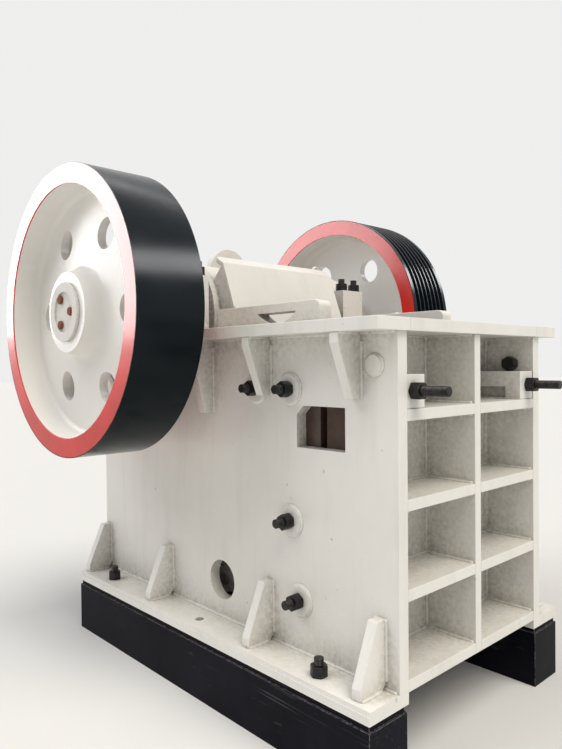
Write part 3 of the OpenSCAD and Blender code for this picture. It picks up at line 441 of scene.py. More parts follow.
def wheel_material():
    """Black rims, a red ring on each face and off-white inside, by the distance from the shaft."""
    finish, wheels = settings().finish, settings().wheels
    made, tree, shader, place = start_material("Wheel paint")
    from_axis = add_node(tree, "ShaderNodeVectorMath", {0: place, 1: SHAFT}, operation="SUBTRACT")
    parts = add_node(tree, "ShaderNodeSeparateXYZ", {0: from_axis.outputs[0]}).outputs
    squares = calc(tree, "MULTIPLY_ADD", parts["X"], parts["X"],
                   calc(tree, "MULTIPLY", parts["Z"], parts["Z"]))
    wobble = calc(tree, "MULTIPLY_ADD", noise(tree, place, 12.0, 3.0), 0.004, -0.002)
    radius = calc(tree, "ADD", calc(tree, "SQRT", squares), wobble)
    side = calc(tree, "ABSOLUTE", parts["Y"])
    margin = 0.006
    inside = calc(tree, "MULTIPLY", calc(tree, "GREATER_THAN", side, WHEEL_LOW.y + margin),
                  calc(tree, "LESS_THAN", side, WHEEL_HIGH.y - margin))
    deep = calc(tree, "MULTIPLY", inside,
                calc(tree, "GREATER_THAN", radius, RIM_R - wheels.groove_depth - margin))
    black = calc(tree, "MAXIMUM", deep, step_up(tree, radius, RIM_R - 0.0045, RIM_R - 0.0035))
    faces = calc(tree, "MULTIPLY", calc(tree, "SUBTRACT", 1.0, inside),
                 step_up(tree, radius, RIM_R - wheels.rim_t - 0.005, RIM_R - wheels.rim_t - 0.004))
    enamel = blended(tree, noise(tree, place, 3.0, 5.0), finish.enamel, shade(finish.enamel, 0.94))
    dirty = masked(tree, place, grime_and_shade_group(), amount=0.45, reach=0.05, clouds=0.10)
    enamel = blended(tree, dirty, enamel, finish.dirt)
    ring = blended(tree, step_up(tree, noise(tree, place, 5.0, 5.0), 0.3, 0.75), finish.rim_red,
                   shade(finish.rim_red, 0.72))
    rubbed = masked(tree, place, rub_group(), radius=0.003)
    colour = blended(tree, faces, enamel, ring)
    colour = blended(tree, black, colour, finish.rim_black)
    worn = calc(tree, "MULTIPLY", calc(tree, "MULTIPLY", rubbed, black), 0.3)
    colour = blended(tree, worn, colour, (0.22, 0.23, 0.25))
    joined_to(tree, colour, shader, "Base Color")
    gloss = faded(tree, black, 0.30, calc(tree, "MULTIPLY_ADD", noise(tree, place, 7.0, 4.0), 0.16, 0.12))
    joined_to(tree, gloss, shader, "Roughness")
    shader.inputs["Specular IOR Level"].default_value = 0.12
    red = calc(tree, "MULTIPLY", faces, calc(tree, "SUBTRACT", 1.0, black))
    joined_to(tree, faded(tree, red, 0.05, 0.42), shader, "Coat Weight")
    shader.inputs["Coat Roughness"].default_value = 0.14
    coated(tree, shader, place, 0.35, 1.0, 0.0010)
    return made


def bolt_material():
    """Oil-blackened steel with rubbed edges."""
    made, tree, shader, place = start_material("Blackened steel")
    clouds = noise(tree, place, 45.0, 5.0, 0.6)
    colour = blended(tree, step_up(tree, clouds, 0.35, 0.7), (0.012, 0.012, 0.013), (0.035, 0.032, 0.030))
    rubbed = masked(tree, place, rub_group(), radius=0.002)
    colour = blended(tree, calc(tree, "MULTIPLY", rubbed, 0.6), colour, (0.16, 0.15, 0.14))
    joined_to(tree, colour, shader, "Base Color")
    joined_to(tree, faded(tree, clouds, 0.28, 0.52), shader, "Roughness")
    shader.inputs["Metallic"].default_value = 0.6
    raised(tree, shader, noise(tree, place, 220.0, 3.0), 0.0006)
    return made


def rusty_material():
    """Screw heads with red-brown rust over steel."""
    finish = settings().finish
    made, tree, shader, place = start_material("Rusty steel")
    clouds = step_up(tree, noise(tree, place, 70.0, 6.0, 0.7), 0.35, 0.65)
    colour = blended(tree, clouds, finish.rust, shade(finish.rust, 0.35))
    joined_to(tree, colour, shader, "Base Color")
    joined_to(tree, faded(tree, clouds, 0.75, 0.5), shader, "Roughness")
    raised(tree, shader, noise(tree, place, 260.0, 5.0, 0.7), 0.0010)
    return made


def casting_material():
    """Manganese castings with a brown scale."""
    finish = settings().finish
    made, tree, shader, place = start_material("Manganese casting")
    colour, clouds = casting_scale(tree, place)
    rubbed = masked(tree, place, rub_group(), radius=0.006)
    colour = blended(tree, calc(tree, "MULTIPLY", rubbed, 0.5), colour, (0.17, 0.14, 0.12))
    dirty = masked(tree, place, dust_group(), amount=0.5)
    colour = blended(tree, dirty, colour, shade(finish.dirt, 0.9))
    joined_to(tree, colour, shader, "Base Color")
    joined_to(tree, faded(tree, clouds, 0.72, 0.55), shader, "Roughness")
    lumps = noise(tree, place, 20.0, 4.0)
    grain = calc(tree, "MULTIPLY_ADD", noise(tree, place, 160.0, 4.0, 0.7), 0.5, lumps)
    raised(tree, shader, grain, 0.0025)
    return made


def machined_material():
    """Turned and ground steel with a film of oil."""
    made, tree, shader, place = start_material("Machined steel")
    turned = noise(tree, stretched(tree, place, (1.0, 60.0, 1.0)), 8.0, 4.0, 0.6)
    colour = blended(tree, step_up(tree, turned, 0.3, 0.7), (0.30, 0.29, 0.27), (0.46, 0.45, 0.43))
    dirty = masked(tree, place, grime_and_shade_group(), amount=0.6, reach=0.04, clouds=0.35)
    colour = blended(tree, dirty, colour, (0.07, 0.05, 0.035))
    joined_to(tree, colour, shader, "Base Color")
    joined_to(tree, faded(tree, dirty, 0.30, 0.65), shader, "Roughness")
    shader.inputs["Metallic"].default_value = 0.9
    raised(tree, shader, turned, 0.0004)
    return made


def material(name):
    """One of the finishes, made when it is first asked for."""
    makers = {
        "Plate enamel": lambda: enamel_material("Plate enamel", 0.5, 1.6, 0.55, 0.0011),
        "Casting enamel": lambda: enamel_material("Casting enamel", 1.3, 2.2, 0.60, 0.0020),
        "Cheek plate": lambda: enamel_material("Cheek plate", 0.5, 1.6, 0.55, 0.0011, FLANGE_UNDERSIDE),
        "Base black": base_material,
        "Wheel paint": wheel_material,
        "Blackened steel": bolt_material,
        "Rusty steel": rusty_material,
        "Manganese casting": casting_material,
        "Machined steel": machined_material,
    }
    return bpy.data.materials.get(name) or makers[name]()


# Meshes

def new_piece(name, bm, finish, body, replaced=(), edge=0.0, segments=2, smooth=35.0):
    """Turns a bmesh into a finished piece that rides on a body and may stand for CAD nodes."""
    mesh = bpy.data.meshes.new(name)
    bm.to_mesh(mesh)
    bm.free()
    mesh.materials.append(material(finish))
    mesh.shade_smooth()
    mesh.set_sharp_from_angle(angle=math.radians(smooth))
    piece = bpy.data.objects.new(name, mesh)
    bpy.context.scene.collection.objects.link(piece)
    if edge:
        rounder = piece.modifiers.new("Edges", "BEVEL")
        rounder.width = edge
        rounder.segments = segments
        rounder.limit_method = "ANGLE"
        rounder.angle_limit = math.radians(smooth)
        rounder.miter_outer = "MITER_ARC"
        rounder.harden_normals = True
    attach(piece, body)
    if replaced:
        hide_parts(*replaced)
    return piece


def welded_copy(node):
    """A bmesh of a CAD node with its loose triangles merged and its flat faces made whole."""
    bm = bmesh.new()
    bm.from_mesh(frame["nodes"][node].data)
    bmesh.ops.remove_doubles(bm, verts=bm.verts, dist=0.00002)
    bmesh.ops.dissolve_limit(bm, angle_limit=math.radians(0.5), verts=bm.verts, edges=bm.edges,
                             use_dissolve_boundaries=False)
    return bm


def dress(nodes, finish, edge, smooth=35.0):
    """Each CAD node's own copy with rounded edges and a finish stands for it."""
    for node in nodes:
        new_piece(node + "_dressed", welded_copy(node), finish, frame["nodes"][node]["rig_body"],
                  [node], edge, smooth=smooth)


def turned_to(direction, place):
    """A matrix that turns +Z to a direction and moves to a place."""
    turn = Z_AXIS.rotation_difference(Vector(direction)).to_matrix().to_4x4()
    return Matrix.Translation(place) @ turn


def add_part(bm, part, *places):
    """Adds a bmesh to another at each place, given as a matrix, and frees it."""
    for place in places:
        mesh = bpy.data.meshes.new("part")
        part.to_mesh(mesh)
        mesh.transform(place)
        bm.from_mesh(mesh)
        bpy.data.meshes.remove(mesh)
    part.free()


def pushed_on(bm, edges, shift, scale):
    """Extrudes a ring of edges, moves it and scales it about its middle."""
    out = bmesh.ops.extrude_edge_only(bm, edges=edges)["geom"]
    verts = [g for g in out if isinstance(g, bmesh.types.BMVert)]
    bmesh.ops.translate(bm, verts=verts, vec=shift)
    middle = sum((v.co for v in verts), Vector()) / len(verts)
    bmesh.ops.scale(bm, verts=verts, vec=(scale, scale, 1), space=Matrix.Translation(-middle))
    return [g for g in out if isinstance(g, bmesh.types.BMEdge)]


def bead(length):
    """A rippled weld bead along Z from the origin."""
    welds = settings().welds
    bm = bmesh.new()
    steps = max(2, 2 * round(length / welds.pitch))
    bmesh.ops.create_circle(bm, segments=6, radius=welds.leg * 0.6)
    edges = bm.edges[:]
    bmesh.ops.edgeloop_fill(bm, edges=edges)
    grow = 1 + welds.ripple
    edges = pushed_on(bm, edges, (0, 0, length / steps / 2), 1 / 0.6)
    for i in range(steps - 1):
        edges = pushed_on(bm, edges, (0, 0, length / steps), grow if i % 2 else 1 / grow)
    edges = pushed_on(bm, edges, (0, 0, length / steps / 2), 0.6)
    bmesh.ops.edgeloop_fill(bm, edges=edges)
    bmesh.ops.recalc_face_normals(bm, faces=bm.faces)
    return bm


def add_beads(bm, seams):
    """A weld bead along each seam, given by its two ends."""
    made = {}
    for start, end in seams:
        start, end = Vector(start), Vector(end)
        length = round((end - start).length, 3)
        if length not in made:
            made[length] = bead(length), []
        made[length][1].append(turned_to(end - start, start))
    for length, (part, places) in made.items():
        add_part(bm, part, *places)


def ring_bead(bm, place, axis, radius):
    """A round weld bead about an axis."""
    welds = settings().welds
    steps = max(24, 2 * round(math.pi * radius / welds.pitch))
    add_part(bm, hoop(radius, welds.leg * 0.8, 6, steps), turned_to(axis, place))


def full_spin(bm, steps):
    """Turns a line or an outline about Z into a closed surface."""
    bmesh.ops.spin(bm, geom=bm.verts[:] + bm.edges[:], cent=(0, 0, 0), axis=(0, 0, 1), angle=math.tau,
                   steps=steps, use_merge=True)
    bmesh.ops.remove_doubles(bm, verts=bm.verts, dist=0.00005)
    bmesh.ops.recalc_face_normals(bm, faces=bm.faces)


def section(bm, radius, wire_r, sides, filled=False):
    """The round section of a bar, upright at a distance from Z."""
    upright = Matrix.Translation((radius, 0, 0)) @ Matrix.Rotation(math.pi / 2, 4, "X")
    bmesh.ops.create_circle(bm, segments=sides, radius=wire_r, cap_ends=filled, matrix=upright)


def hoop(radius, wire_r, sides, steps):
    """A round bar bent to a ring about Z."""
    bm = bmesh.new()
    section(bm, radius, wire_r, sides)
    full_spin(bm, steps)
    return bm


def spun_profile(points, steps, closed=False):
    """A surface turned about Z from points given as radius and height."""
    bm = bmesh.new()
    verts = [bm.verts.new((r, 0, z)) for r, z in points]
    for pair in zip(verts, verts[1:] + verts[:1] if closed else verts[1:]):
        bm.edges.new(pair)
    full_spin(bm, steps)
    return bm


# The guard plate's front face from its lower edge to its top, the casting's crest behind it, and the
# lifting lug's front face and middle, as X and Z from the shaft
GUARD_LINE = ((0.424, -0.082), (0.393, 0.024), (0.313, 0.238), (0.250, 0.275))
CREST = (0.258, 0.182)
LUG = (-0.092, 0.265)

# The cutter's far corner and radius from the shaft, outside all that it clears, and its reach past the
# guard's ends. How deep the collars and the lug are set into the barrel, and the collars' gap to its ends
CUT_X, CUT_Z, CUT_R = 0.46, 0.34, 0.35
CUT_PAST = 0.0002
COLLAR_SUNK, LUG_SUNK = 0.004, 0.041
COLLAR_GAP = 0.0005

# Distance from the welds' ends to the walls' ends
SEAM_END = 0.01


def offset_line(points, distance):
    """A line of points moved to its left, square to itself, with its corners mitred."""
    steps = [(Vector(b) - Vector(a)).normalized() for a, b in zip(points, points[1:])]
    sides = [Vector((-step.y, step.x)) for step in steps]
    moved = []
    for point, before, after in zip(points, sides[:1] + sides, sides + sides[-1:]):
        moved.append(tuple(Vector(point) + (before + after) * distance / (1 + before.dot(after))))
    return moved


def prism(points, low, high, place=None):
    """A solid between two planes across Y, with its outline as X and Z from the shaft or another place."""
    bm = bmesh.new()
    face = bm.faces.new([bm.verts.new((x, low, z)) for x, z in points])
    out = bmesh.ops.extrude_face_region(bm, geom=[face])["geom"]
    bmesh.ops.translate(bm, verts=[g for g in out if isinstance(g, bmesh.types.BMVert)],
                        vec=(0, high - low, 0))
    bmesh.ops.transform(bm, matrix=place or Matrix.Translation(SHAFT), verts=bm.verts)
    bmesh.ops.recalc_face_normals(bm, faces=bm.faces)
    return bm


def cut(bm, tool):
    """The first bmesh less the second."""
    objects = []
    for other in (bm, tool):
        mesh = bpy.data.meshes.new("cut")
        other.to_mesh(mesh)
        other.free()
        made = bpy.data.objects.new("cut", mesh)
        bpy.context.scene.collection.objects.link(made)
        objects.append(made)
    taker = objects[0].modifiers.new("Cut", "BOOLEAN")
    taker.object = objects[1]
    taker.operation = "DIFFERENCE"
    taker.solver = "EXACT"
    shown = objects[0].evaluated_get(bpy.context.evaluated_depsgraph_get())
    result = bmesh.new()
    result.from_mesh(shown.to_mesh())
    shown.to_mesh_clear()
    for made in objects:
        mesh = made.data
        bpy.data.objects.remove(made)
        bpy.data.meshes.remove(mesh)
    bmesh.ops.remove_doubles(result, verts=result.verts, dist=0.00005)
    bmesh.ops.dissolve_degenerate(result, edges=result.edges, dist=0.0005)
    return result


# Fasteners

# Height of the cheek bolts' heads inside the walls, and length of a cap stud past its nut
INNER_HEAD_H = 0.025
CAP_STUD = 0.026


def bar(bm, sides, radius, length, matrix):
    """A closed straight bar whose middle a matrix places, along its Z."""
    bmesh.ops.create_cone(bm, cap_ends=True, segments=sides, radius1=radius, radius2=radius, depth=length,
                          matrix=matrix)


def nut(across, height):
    """A hexagon nut or head on the origin along Z, with its corners cut off."""
    bm = bmesh.new()
    corner_r = across / math.sqrt(3)
    bar(bm, 6, corner_r, height, Matrix.Translation((0, 0, height / 2)))
    bmesh.ops.bevel(bm, geom=bm.verts[:], offset=corner_r * 0.17, segments=2, profile=0.5,
                    affect="VERTICES", material=-1)
    return bm


def threaded_end(radius, length):
    """A length of thread along Z from the origin, with a chamfered end."""
    fasteners = settings().fasteners
    root = radius - fasteners.thread_depth
    count = max(1, int(length / fasteners.thread_pitch))
    points = [(0.0, 0.0), (root, 0.0)]
    for i in range(count):
        z = (i + 0.5) * length / count
        points += [(radius, z), (root, z + 0.5 * length / count)]
    points += [(root - 0.003, length), (0.0, length)]
    return spun_profile(points, 20)


def add_fastener(bm, place, axis, stud):
    """A nut at a place along an axis, with stud metres of thread past it."""
    fasteners = settings().fasteners
    place, axis = Vector(place), Vector(axis)
    add_part(bm, nut(fasteners.across_flats, fasteners.nut_h), turned_to(axis, place))
    if stud > 0:
        add_part(bm, threaded_end(fasteners.bolt_r, stud), turned_to(axis, place + axis * fasteners.nut_h))


def solid_groups(node):
    """The lowest and highest corners of each separate solid in a CAD node."""
    bm = welded_copy(node)
    left, found = set(bm.verts), []
    while left:
        stack, part = [left.pop()], []
        while stack:
            vert = stack.pop()
            part.append(vert.co.copy())
            for edge in vert.link_edges:
                other = edge.other_vert(vert)
                if other in left:
                    left.discard(other)
                    stack.append(other)
        found.append((Vector(min(c[i] for c in part) for i in range(3)),
                      Vector(max(c[i] for c in part) for i in range(3))))
    bm.free()
    return found


class CRUSHER_OT_frame_plates(bpy.types.Operator):
    """Rounds and paints the welded plates of the frame"""
    bl_idname = "crusher.frame_plates"
    bl_label = "Frame plates"

    def execute(self, context):
        plates = [
            "side_wall_left", "side_wall_right", "front_plate", "front_ribs", "front_centre_rib",
            "rear_plate", "rear_ribs", "rear_centre_rib", "top_flange_sides", "top_flange_ends",
            "foot_plates", "foot_gussets", "flange_gussets", "saddle_gussets", "wall_rings",
            "stud_blocks", "toggle_block", "toggle_guides"]
        dress(plates, "Plate enamel", settings().edges.plate)
        dress(["upper_cheek_plates"], "Cheek plate", settings().edges.plate)
        return {"FINISHED"}


class CRUSHER_OT_castings(bpy.types.Operator):
    """Rounds and paints the bearing housings"""
    bl_idname = "crusher.castings"
    bl_label = "Painted castings"

    def execute(self, context):
        dress(["bearing_seats", "bearing_caps", "bearing_covers"], "Casting enamel",
              settings().edges.casting * 0.5)
        return {"FINISHED"}


class CRUSHER_OT_swing_jaw(bpy.types.Operator):
    """Turns the swing jaw's barrel down, folds the guard plate and sets the lifting lug on the barrel"""
    bl_idname = "crusher.swing_jaw"
    bl_label = "Swing jaw"

    def execute(self, context):
        jaw = settings().jaw
        edge = settings().edges.casting * 0.5
        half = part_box("jaw_guard")[1].y
        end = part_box("swing_jaw")[1].y
        back = offset_line(GUARD_LINE, jaw.guard_t)
        self.casting(jaw, back, half, end, edge)
        self.guard(jaw, back, half)
        self.lug(jaw, edge)
        return {"FINISHED"}

    def casting(self, jaw, back, half, end, edge):
        """The casting less what lies outside the barrel and the guard, with a collar at each end."""
        turns = [math.tau * i / 96 for i in range(8, 61)]
        under = [(jaw.barrel_r * math.cos(a), jaw.barrel_r * math.sin(a)) for a in turns]
        over = [(CUT_R * math.cos(a), CUT_R * math.sin(a)) for a in reversed(turns[12:])]
        spare = prism([back[1], back[2], CREST, *under, *over, (CUT_X, CUT_Z), (CUT_X, back[1][1])],
                      -half - CUT_PAST, half + CUT_PAST)
        bm = cut(welded_copy("swing_jaw"), spare)
        root = jaw.collar_r - jaw.collar_step
        inner, face = jaw.barrel_r - COLLAR_SUNK, end - COLLAR_GAP
        step = end - jaw.collar_w
        collar = spun_profile([(inner, half), (root, half), (root, step), (jaw.collar_r, step),
                               (jaw.collar_r, face), (inner, face)], 96, True)
        add_part(bm, collar, *(turned_to(Y_AXIS * sign, SHAFT) for sign in (-1, 1)))
        new_piece("swing_jaw_dressed", bm, "Casting enamel", "jaw", ["swing_jaw"], edge)

    def guard(self, jaw, back, half):
        bm = prism([*GUARD_LINE, *reversed(back)], -half, half)
        tips = [SHAFT + Vector((x, 0, z)) for x, z in (GUARD_LINE[-1], back[-1])]
        upper = {v for v in bm.verts if any((v.co - tip).cross(Y_AXIS).length < 0.001 for tip in tips)}
        corners = [e for e in bm.edges if set(e.verts) <= upper and e.verts[0].co.y * e.verts[1].co.y > 0]
        bmesh.ops.bevel(bm, geom=corners, offset=jaw.guard_corner, segments=6, profile=0.5, affect="EDGES",
                        material=-1)
        new_piece("jaw_guard_dressed", bm, "Plate enamel", "jaw", ["jaw_guard"],
                  settings().edges.plate)

    def lug(self, jaw, edge):
        front, middle = LUG
        arc = [(jaw.lug_r * math.cos(math.radians(a)), middle + jaw.lug_r * math.sin(math.radians(a)))
               for a in range(0, 181, 6)]
        foot = jaw.barrel_r - LUG_SUNK
        turned = Matrix.Rotation(math.pi / 2, 4, "Z")
        bm = prism([*arc, (-jaw.lug_r, foot), (jaw.lug_r, foot)], 0, jaw.lug_t, Matrix.Identity(4))
        bmesh.ops.transform(bm, matrix=Matrix.Translation(SHAFT + X_AXIS * front) @ turned, verts=bm.verts)
        bmesh.ops.recalc_face_normals(bm, faces=bm.faces)
        hole = bmesh.new()
        bar(hole, 48, jaw.lug_hole_r, 4 * jaw.lug_t, turned_to(X_AXIS, SHAFT + Vector((front, 0, middle))))
        new_piece("lifting_lug_dressed", cut(bm, hole), "Casting enamel", "jaw",
                  ["lifting_lug"], edge)


class CRUSHER_OT_base(bpy.types.Operator):
    """Rounds and paints the black base"""
    bl_idname = "crusher.base"
    bl_label = "Base"

    def execute(self, context):
        dress(["base_side_beams", "base_cross_beams"], "Base black", settings().edges.plate)
        return {"FINISHED"}


class CRUSHER_OT_wear_parts(bpy.types.Operator):
    """Gives the unpainted castings and the bare steel their finishes"""
    bl_idname = "crusher.wear_parts"
    bl_label = "Wear parts and bare steel"

    def execute(self, context):
        edges = settings().edges
        dress(["fixed_jaw_plate", "moving_jaw_plate", "lower_cheek_plates", "toggle_plate"],
              "Manganese casting", edges.casting * 0.4, 25.0)
        dress(["eccentric_shaft", "main_bearings", "shim_pack", "tension_rods", "rod_pins"],
              "Machined steel", edges.machined)
        return {"FINISHED"}


class CRUSHER_OT_wheels(bpy.types.Operator):
    """Turns the flywheel and the grooved pulley with cast fillets and cuts their web holes"""
    bl_idname = "crusher.wheels"
    bl_label = "Wheels"

    def execute(self, context):
        for name, sign, grooved in (("belt_pulley", 1, True), ("flywheel", -1, False)):
            self.make(name, sign, grooved)
        self.discs()
        return {"FINISHED"}

    def discs(self):
        """The recessed discs that hold the wheels on the shaft's ends."""
        w = settings().wheels
        seat = WHEEL_HIGH.y - w.hub_recess
        floor = seat + w.disc_t - w.disc_recess
        disc = spun_profile([(0.0, seat), (w.disc_r, seat), (w.disc_r, seat + w.disc_t),
                             (w.disc_recess_r, seat + w.disc_t), (w.disc_recess_r, floor), (0.0, floor)], 72)
        bm = bmesh.new()
        add_part(bm, disc, *(turned_to(Y_AXIS * sign, SHAFT) for sign in (-1, 1)))
        new_piece("wheel_end_caps_dressed", bm, "Casting enamel", "shaft",
                  ["wheel_end_caps"], 0.003)

    def profile(self, grooved):
        """Half section of a wheel as radius and distance from the middle plane, and its fillet corners."""
        w = settings().wheels
        low, high = WHEEL_LOW.y, WHEEL_HIGH.y
        inner_r = RIM_R - w.rim_t
        web = high - w.web_recess
        points = [(w.bore_r, low), (w.hub_r, low), (w.hub_r + w.hub_taper, web - w.web_t),
                  (inner_r, web - w.web_dish - w.web_t), (inner_r, low), (RIM_R, low)]
        fillets = [2, 3]
        if grooved:
            first = (low + high - (w.groove_count - 1) * w.groove_pitch) / 2
            for i in range(w.groove_count):
                y = first + i * w.groove_pitch
                points += [(RIM_R, y - w.groove_top / 2), (RIM_R - w.groove_depth, y - w.groove_bottom / 2),
                           (RIM_R - w.groove_depth, y + w.groove_bottom / 2), (RIM_R, y + w.groove_top / 2)]
        points += [(RIM_R, high), (inner_r, high), (inner_r, web - w.web_dish)]
        fillets += [len(points) - 1, len(points)]
        points += [(w.hub_r + w.hub_taper, web), (w.hub_r, high - w.hub_recess),
                   (w.bore_r, high - w.hub_recess)]
        return points, fillets

    def make(self, name, sign, grooved):
        w = settings().wheels
        points, fillets = self.profile(grooved)
        bm = bmesh.new()
        verts = [bm.verts.new((r, 0, y)) for r, y in points]
        for a, b in zip(verts, verts[1:] + verts[:1]):
            bm.edges.new((a, b))
        bmesh.ops.bevel(bm, geom=[verts[i] for i in fillets], offset=w.fillet, segments=5, profile=0.5,
                        affect="VERTICES", material=-1)
        full_spin(bm, 144)
        bmesh.ops.transform(bm, matrix=self.place(sign), verts=bm.verts)
        bmesh.ops.recalc_face_normals(bm, faces=bm.faces)
        drills = bmesh.new()
        depth = WHEEL_HIGH.y - WHEEL_LOW.y + 0.1
        for i in range(w.hole_count):
            turn = Matrix.Rotation(math.tau * i / w.hole_count, 4, "Z")
            shift = Matrix.Translation((w.hole_pcr, 0, (WHEEL_LOW.y + WHEEL_HIGH.y) / 2))
            bar(drills, 48, w.hole_r, depth, self.place(sign) @ turn @ shift)
        bmesh.ops.recalc_face_normals(drills, faces=drills.faces)
        bm = cut(bm, drills)
        new_piece(name + "_dressed", bm, "Wheel paint", "shaft", [name], w.edge, 3, 30.0)

    def place(self, sign):
        """Turns the wheel's +Z to +Y or -Y and moves it to the shaft, as a mirror for the flywheel."""
        across = Matrix(((1, 0, 0, 0), (0, 0, sign, 0), (0, 1, 0, 0), (0, 0, 0, 1)))
        return Matrix.Translation(SHAFT) @ across


class CRUSHER_OT_fasteners(bpy.types.Operator):
    """Makes the nuts, the threads and the screws"""
    bl_idname = "crusher.fasteners"
    bl_label = "Fasteners"

    def execute(self, context):
        fasteners = settings().fasteners
        nuts = {node: bmesh.new() for node in ("cheek_bolts", "foot_bolts", "cap_bolts", "jaw_studs")}
        for low, high in solid_groups("cheek_bolts"):
            middle = (low + high) / 2
            sign = 1 if middle.y > 0 else -1
            place = Vector((middle.x, 0, middle.z))
            outer = max(abs(low.y), abs(high.y))
            if outer > WALL_HIGH.y + 0.01:
                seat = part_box("wall_rings")[1].y
                add_fastener(nuts["cheek_bolts"], place + Y_AXIS * sign * seat, Y_AXIS * sign,
                             outer - seat - fasteners.nut_h)
                inner = min(abs(low.y), abs(high.y))
                add_part(nuts["cheek_bolts"], nut(fasteners.across_flats, INNER_HEAD_H),
                         turned_to(-Y_AXIS * sign, place + Y_AXIS * sign * (inner + INNER_HEAD_H)))
            else:
                add_fastener(nuts["cheek_bolts"], place + Y_AXIS * sign * WALL_LOW.y, -Y_AXIS * sign, 0)
        for node in ("foot_bolts", "cap_bolts"):
            for low, high in solid_groups(node):
                middle = (low + high) / 2
                top = FOOT_TOP if node == "foot_bolts" else high.z - fasteners.nut_h - CAP_STUD
                add_fastener(nuts[node], (middle.x, middle.y, top), Z_AXIS, high.z - top - fasteners.nut_h)
        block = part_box("stud_blocks")[1].x
        for low, high in solid_groups("jaw_studs"):
            middle = (low + high) / 2
            add_fastener(nuts["jaw_studs"], (block, middle.y, middle.z), X_AXIS,
                         high.x - block - fasteners.nut_h)
        for node, bm in nuts.items():
            new_piece(node + "_dressed", bm, "Blackened steel", "frame", [node], 0.0008, 1)
        self.screws()
        return {"FINISHED"}

    def screws(self):
        """Three screws on the floor of each disc's recess."""
        w = settings().wheels
        bm = bmesh.new()
        places = []
        seat = WHEEL_HIGH.y - w.hub_recess + w.disc_t - w.disc_recess
        for sign in (-1, 1):
            for turn in (0, 120, 240):
                angle = math.radians(turn)
                place = Vector((w.screw_pcr * math.cos(angle), seat * sign, w.screw_pcr * math.sin(angle)))
                places.append(turned_to(Y_AXIS * sign, SHAFT + place))
        add_part(bm, nut(w.screw_w, w.screw_h), *places)
        new_piece("end_cap_screws_dressed", bm, "Rusty steel", "shaft", ["end_cap_screws"],
                  0.0008, 1)


class CRUSHER_OT_springs(bpy.types.Operator):
    """Winds the springs on the tension rods"""
    bl_idname = "crusher.springs"
    bl_label = "Springs"

    def execute(self, context):
        wire_r, turns = 0.007, 6
        bm = bmesh.new()
        for low, high in solid_groups("tension_springs"):
            coil_r = (high.z - low.z) / 2 - wire_r
            length = high.x - low.x - 2 * wire_r
            other = bmesh.new()
            section(other, coil_r, wire_r, 10, filled=True)
            steps = turns * 28
            bmesh.ops.spin(other, geom=other.faces[:], cent=(0, 0, 0), axis=(0, 0, 1),
                           angle=math.tau * turns, dvec=(0, 0, length / steps), steps=steps)
            bmesh.ops.recalc_face_normals(other, faces=other.faces)
            middle = (low + high) / 2
            add_part(bm, other, turned_to(X_AXIS, (low.x + wire_r, middle.y, middle.z)))
        new_piece("tension_springs_dressed", bm, "Blackened steel", "frame",
                  ["tension_springs"])
        return {"FINISHED"}


class CRUSHER_OT_eyebolts(bpy.types.Operator):
    """Puts a lifting eye on each bearing cap"""
    bl_idname = "crusher.eyebolts"
    bl_label = "Lifting eyes"

    def execute(self, context):
        cap_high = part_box("bearing_caps")[1]
        ring_r, wire_r, collar_r, collar_h = 0.023, 0.0075, 0.022, 0.012
        span = cap_high.y - 0.034
        bm = bmesh.new()
        for sign in (-1, 1):
            foot = Vector((SHAFT.x, span * sign, cap_high.z))
            collar = spun_profile([(0.0, -0.004), (collar_r, -0.004), (collar_r, collar_h * 0.6),
                                   (collar_r * 0.6, collar_h), (0.0, collar_h)], 24)
            add_part(bm, collar, Matrix.Translation(foot))
            ring_middle = foot + Z_AXIS * (collar_h + ring_r)
            add_part(bm, hoop(ring_r, wire_r, 12, 32), turned_to(X_AXIS, ring_middle))
        new_piece("cap_lifting_eyes", bm, "Casting enamel", "frame")
        return {"FINISHED"}


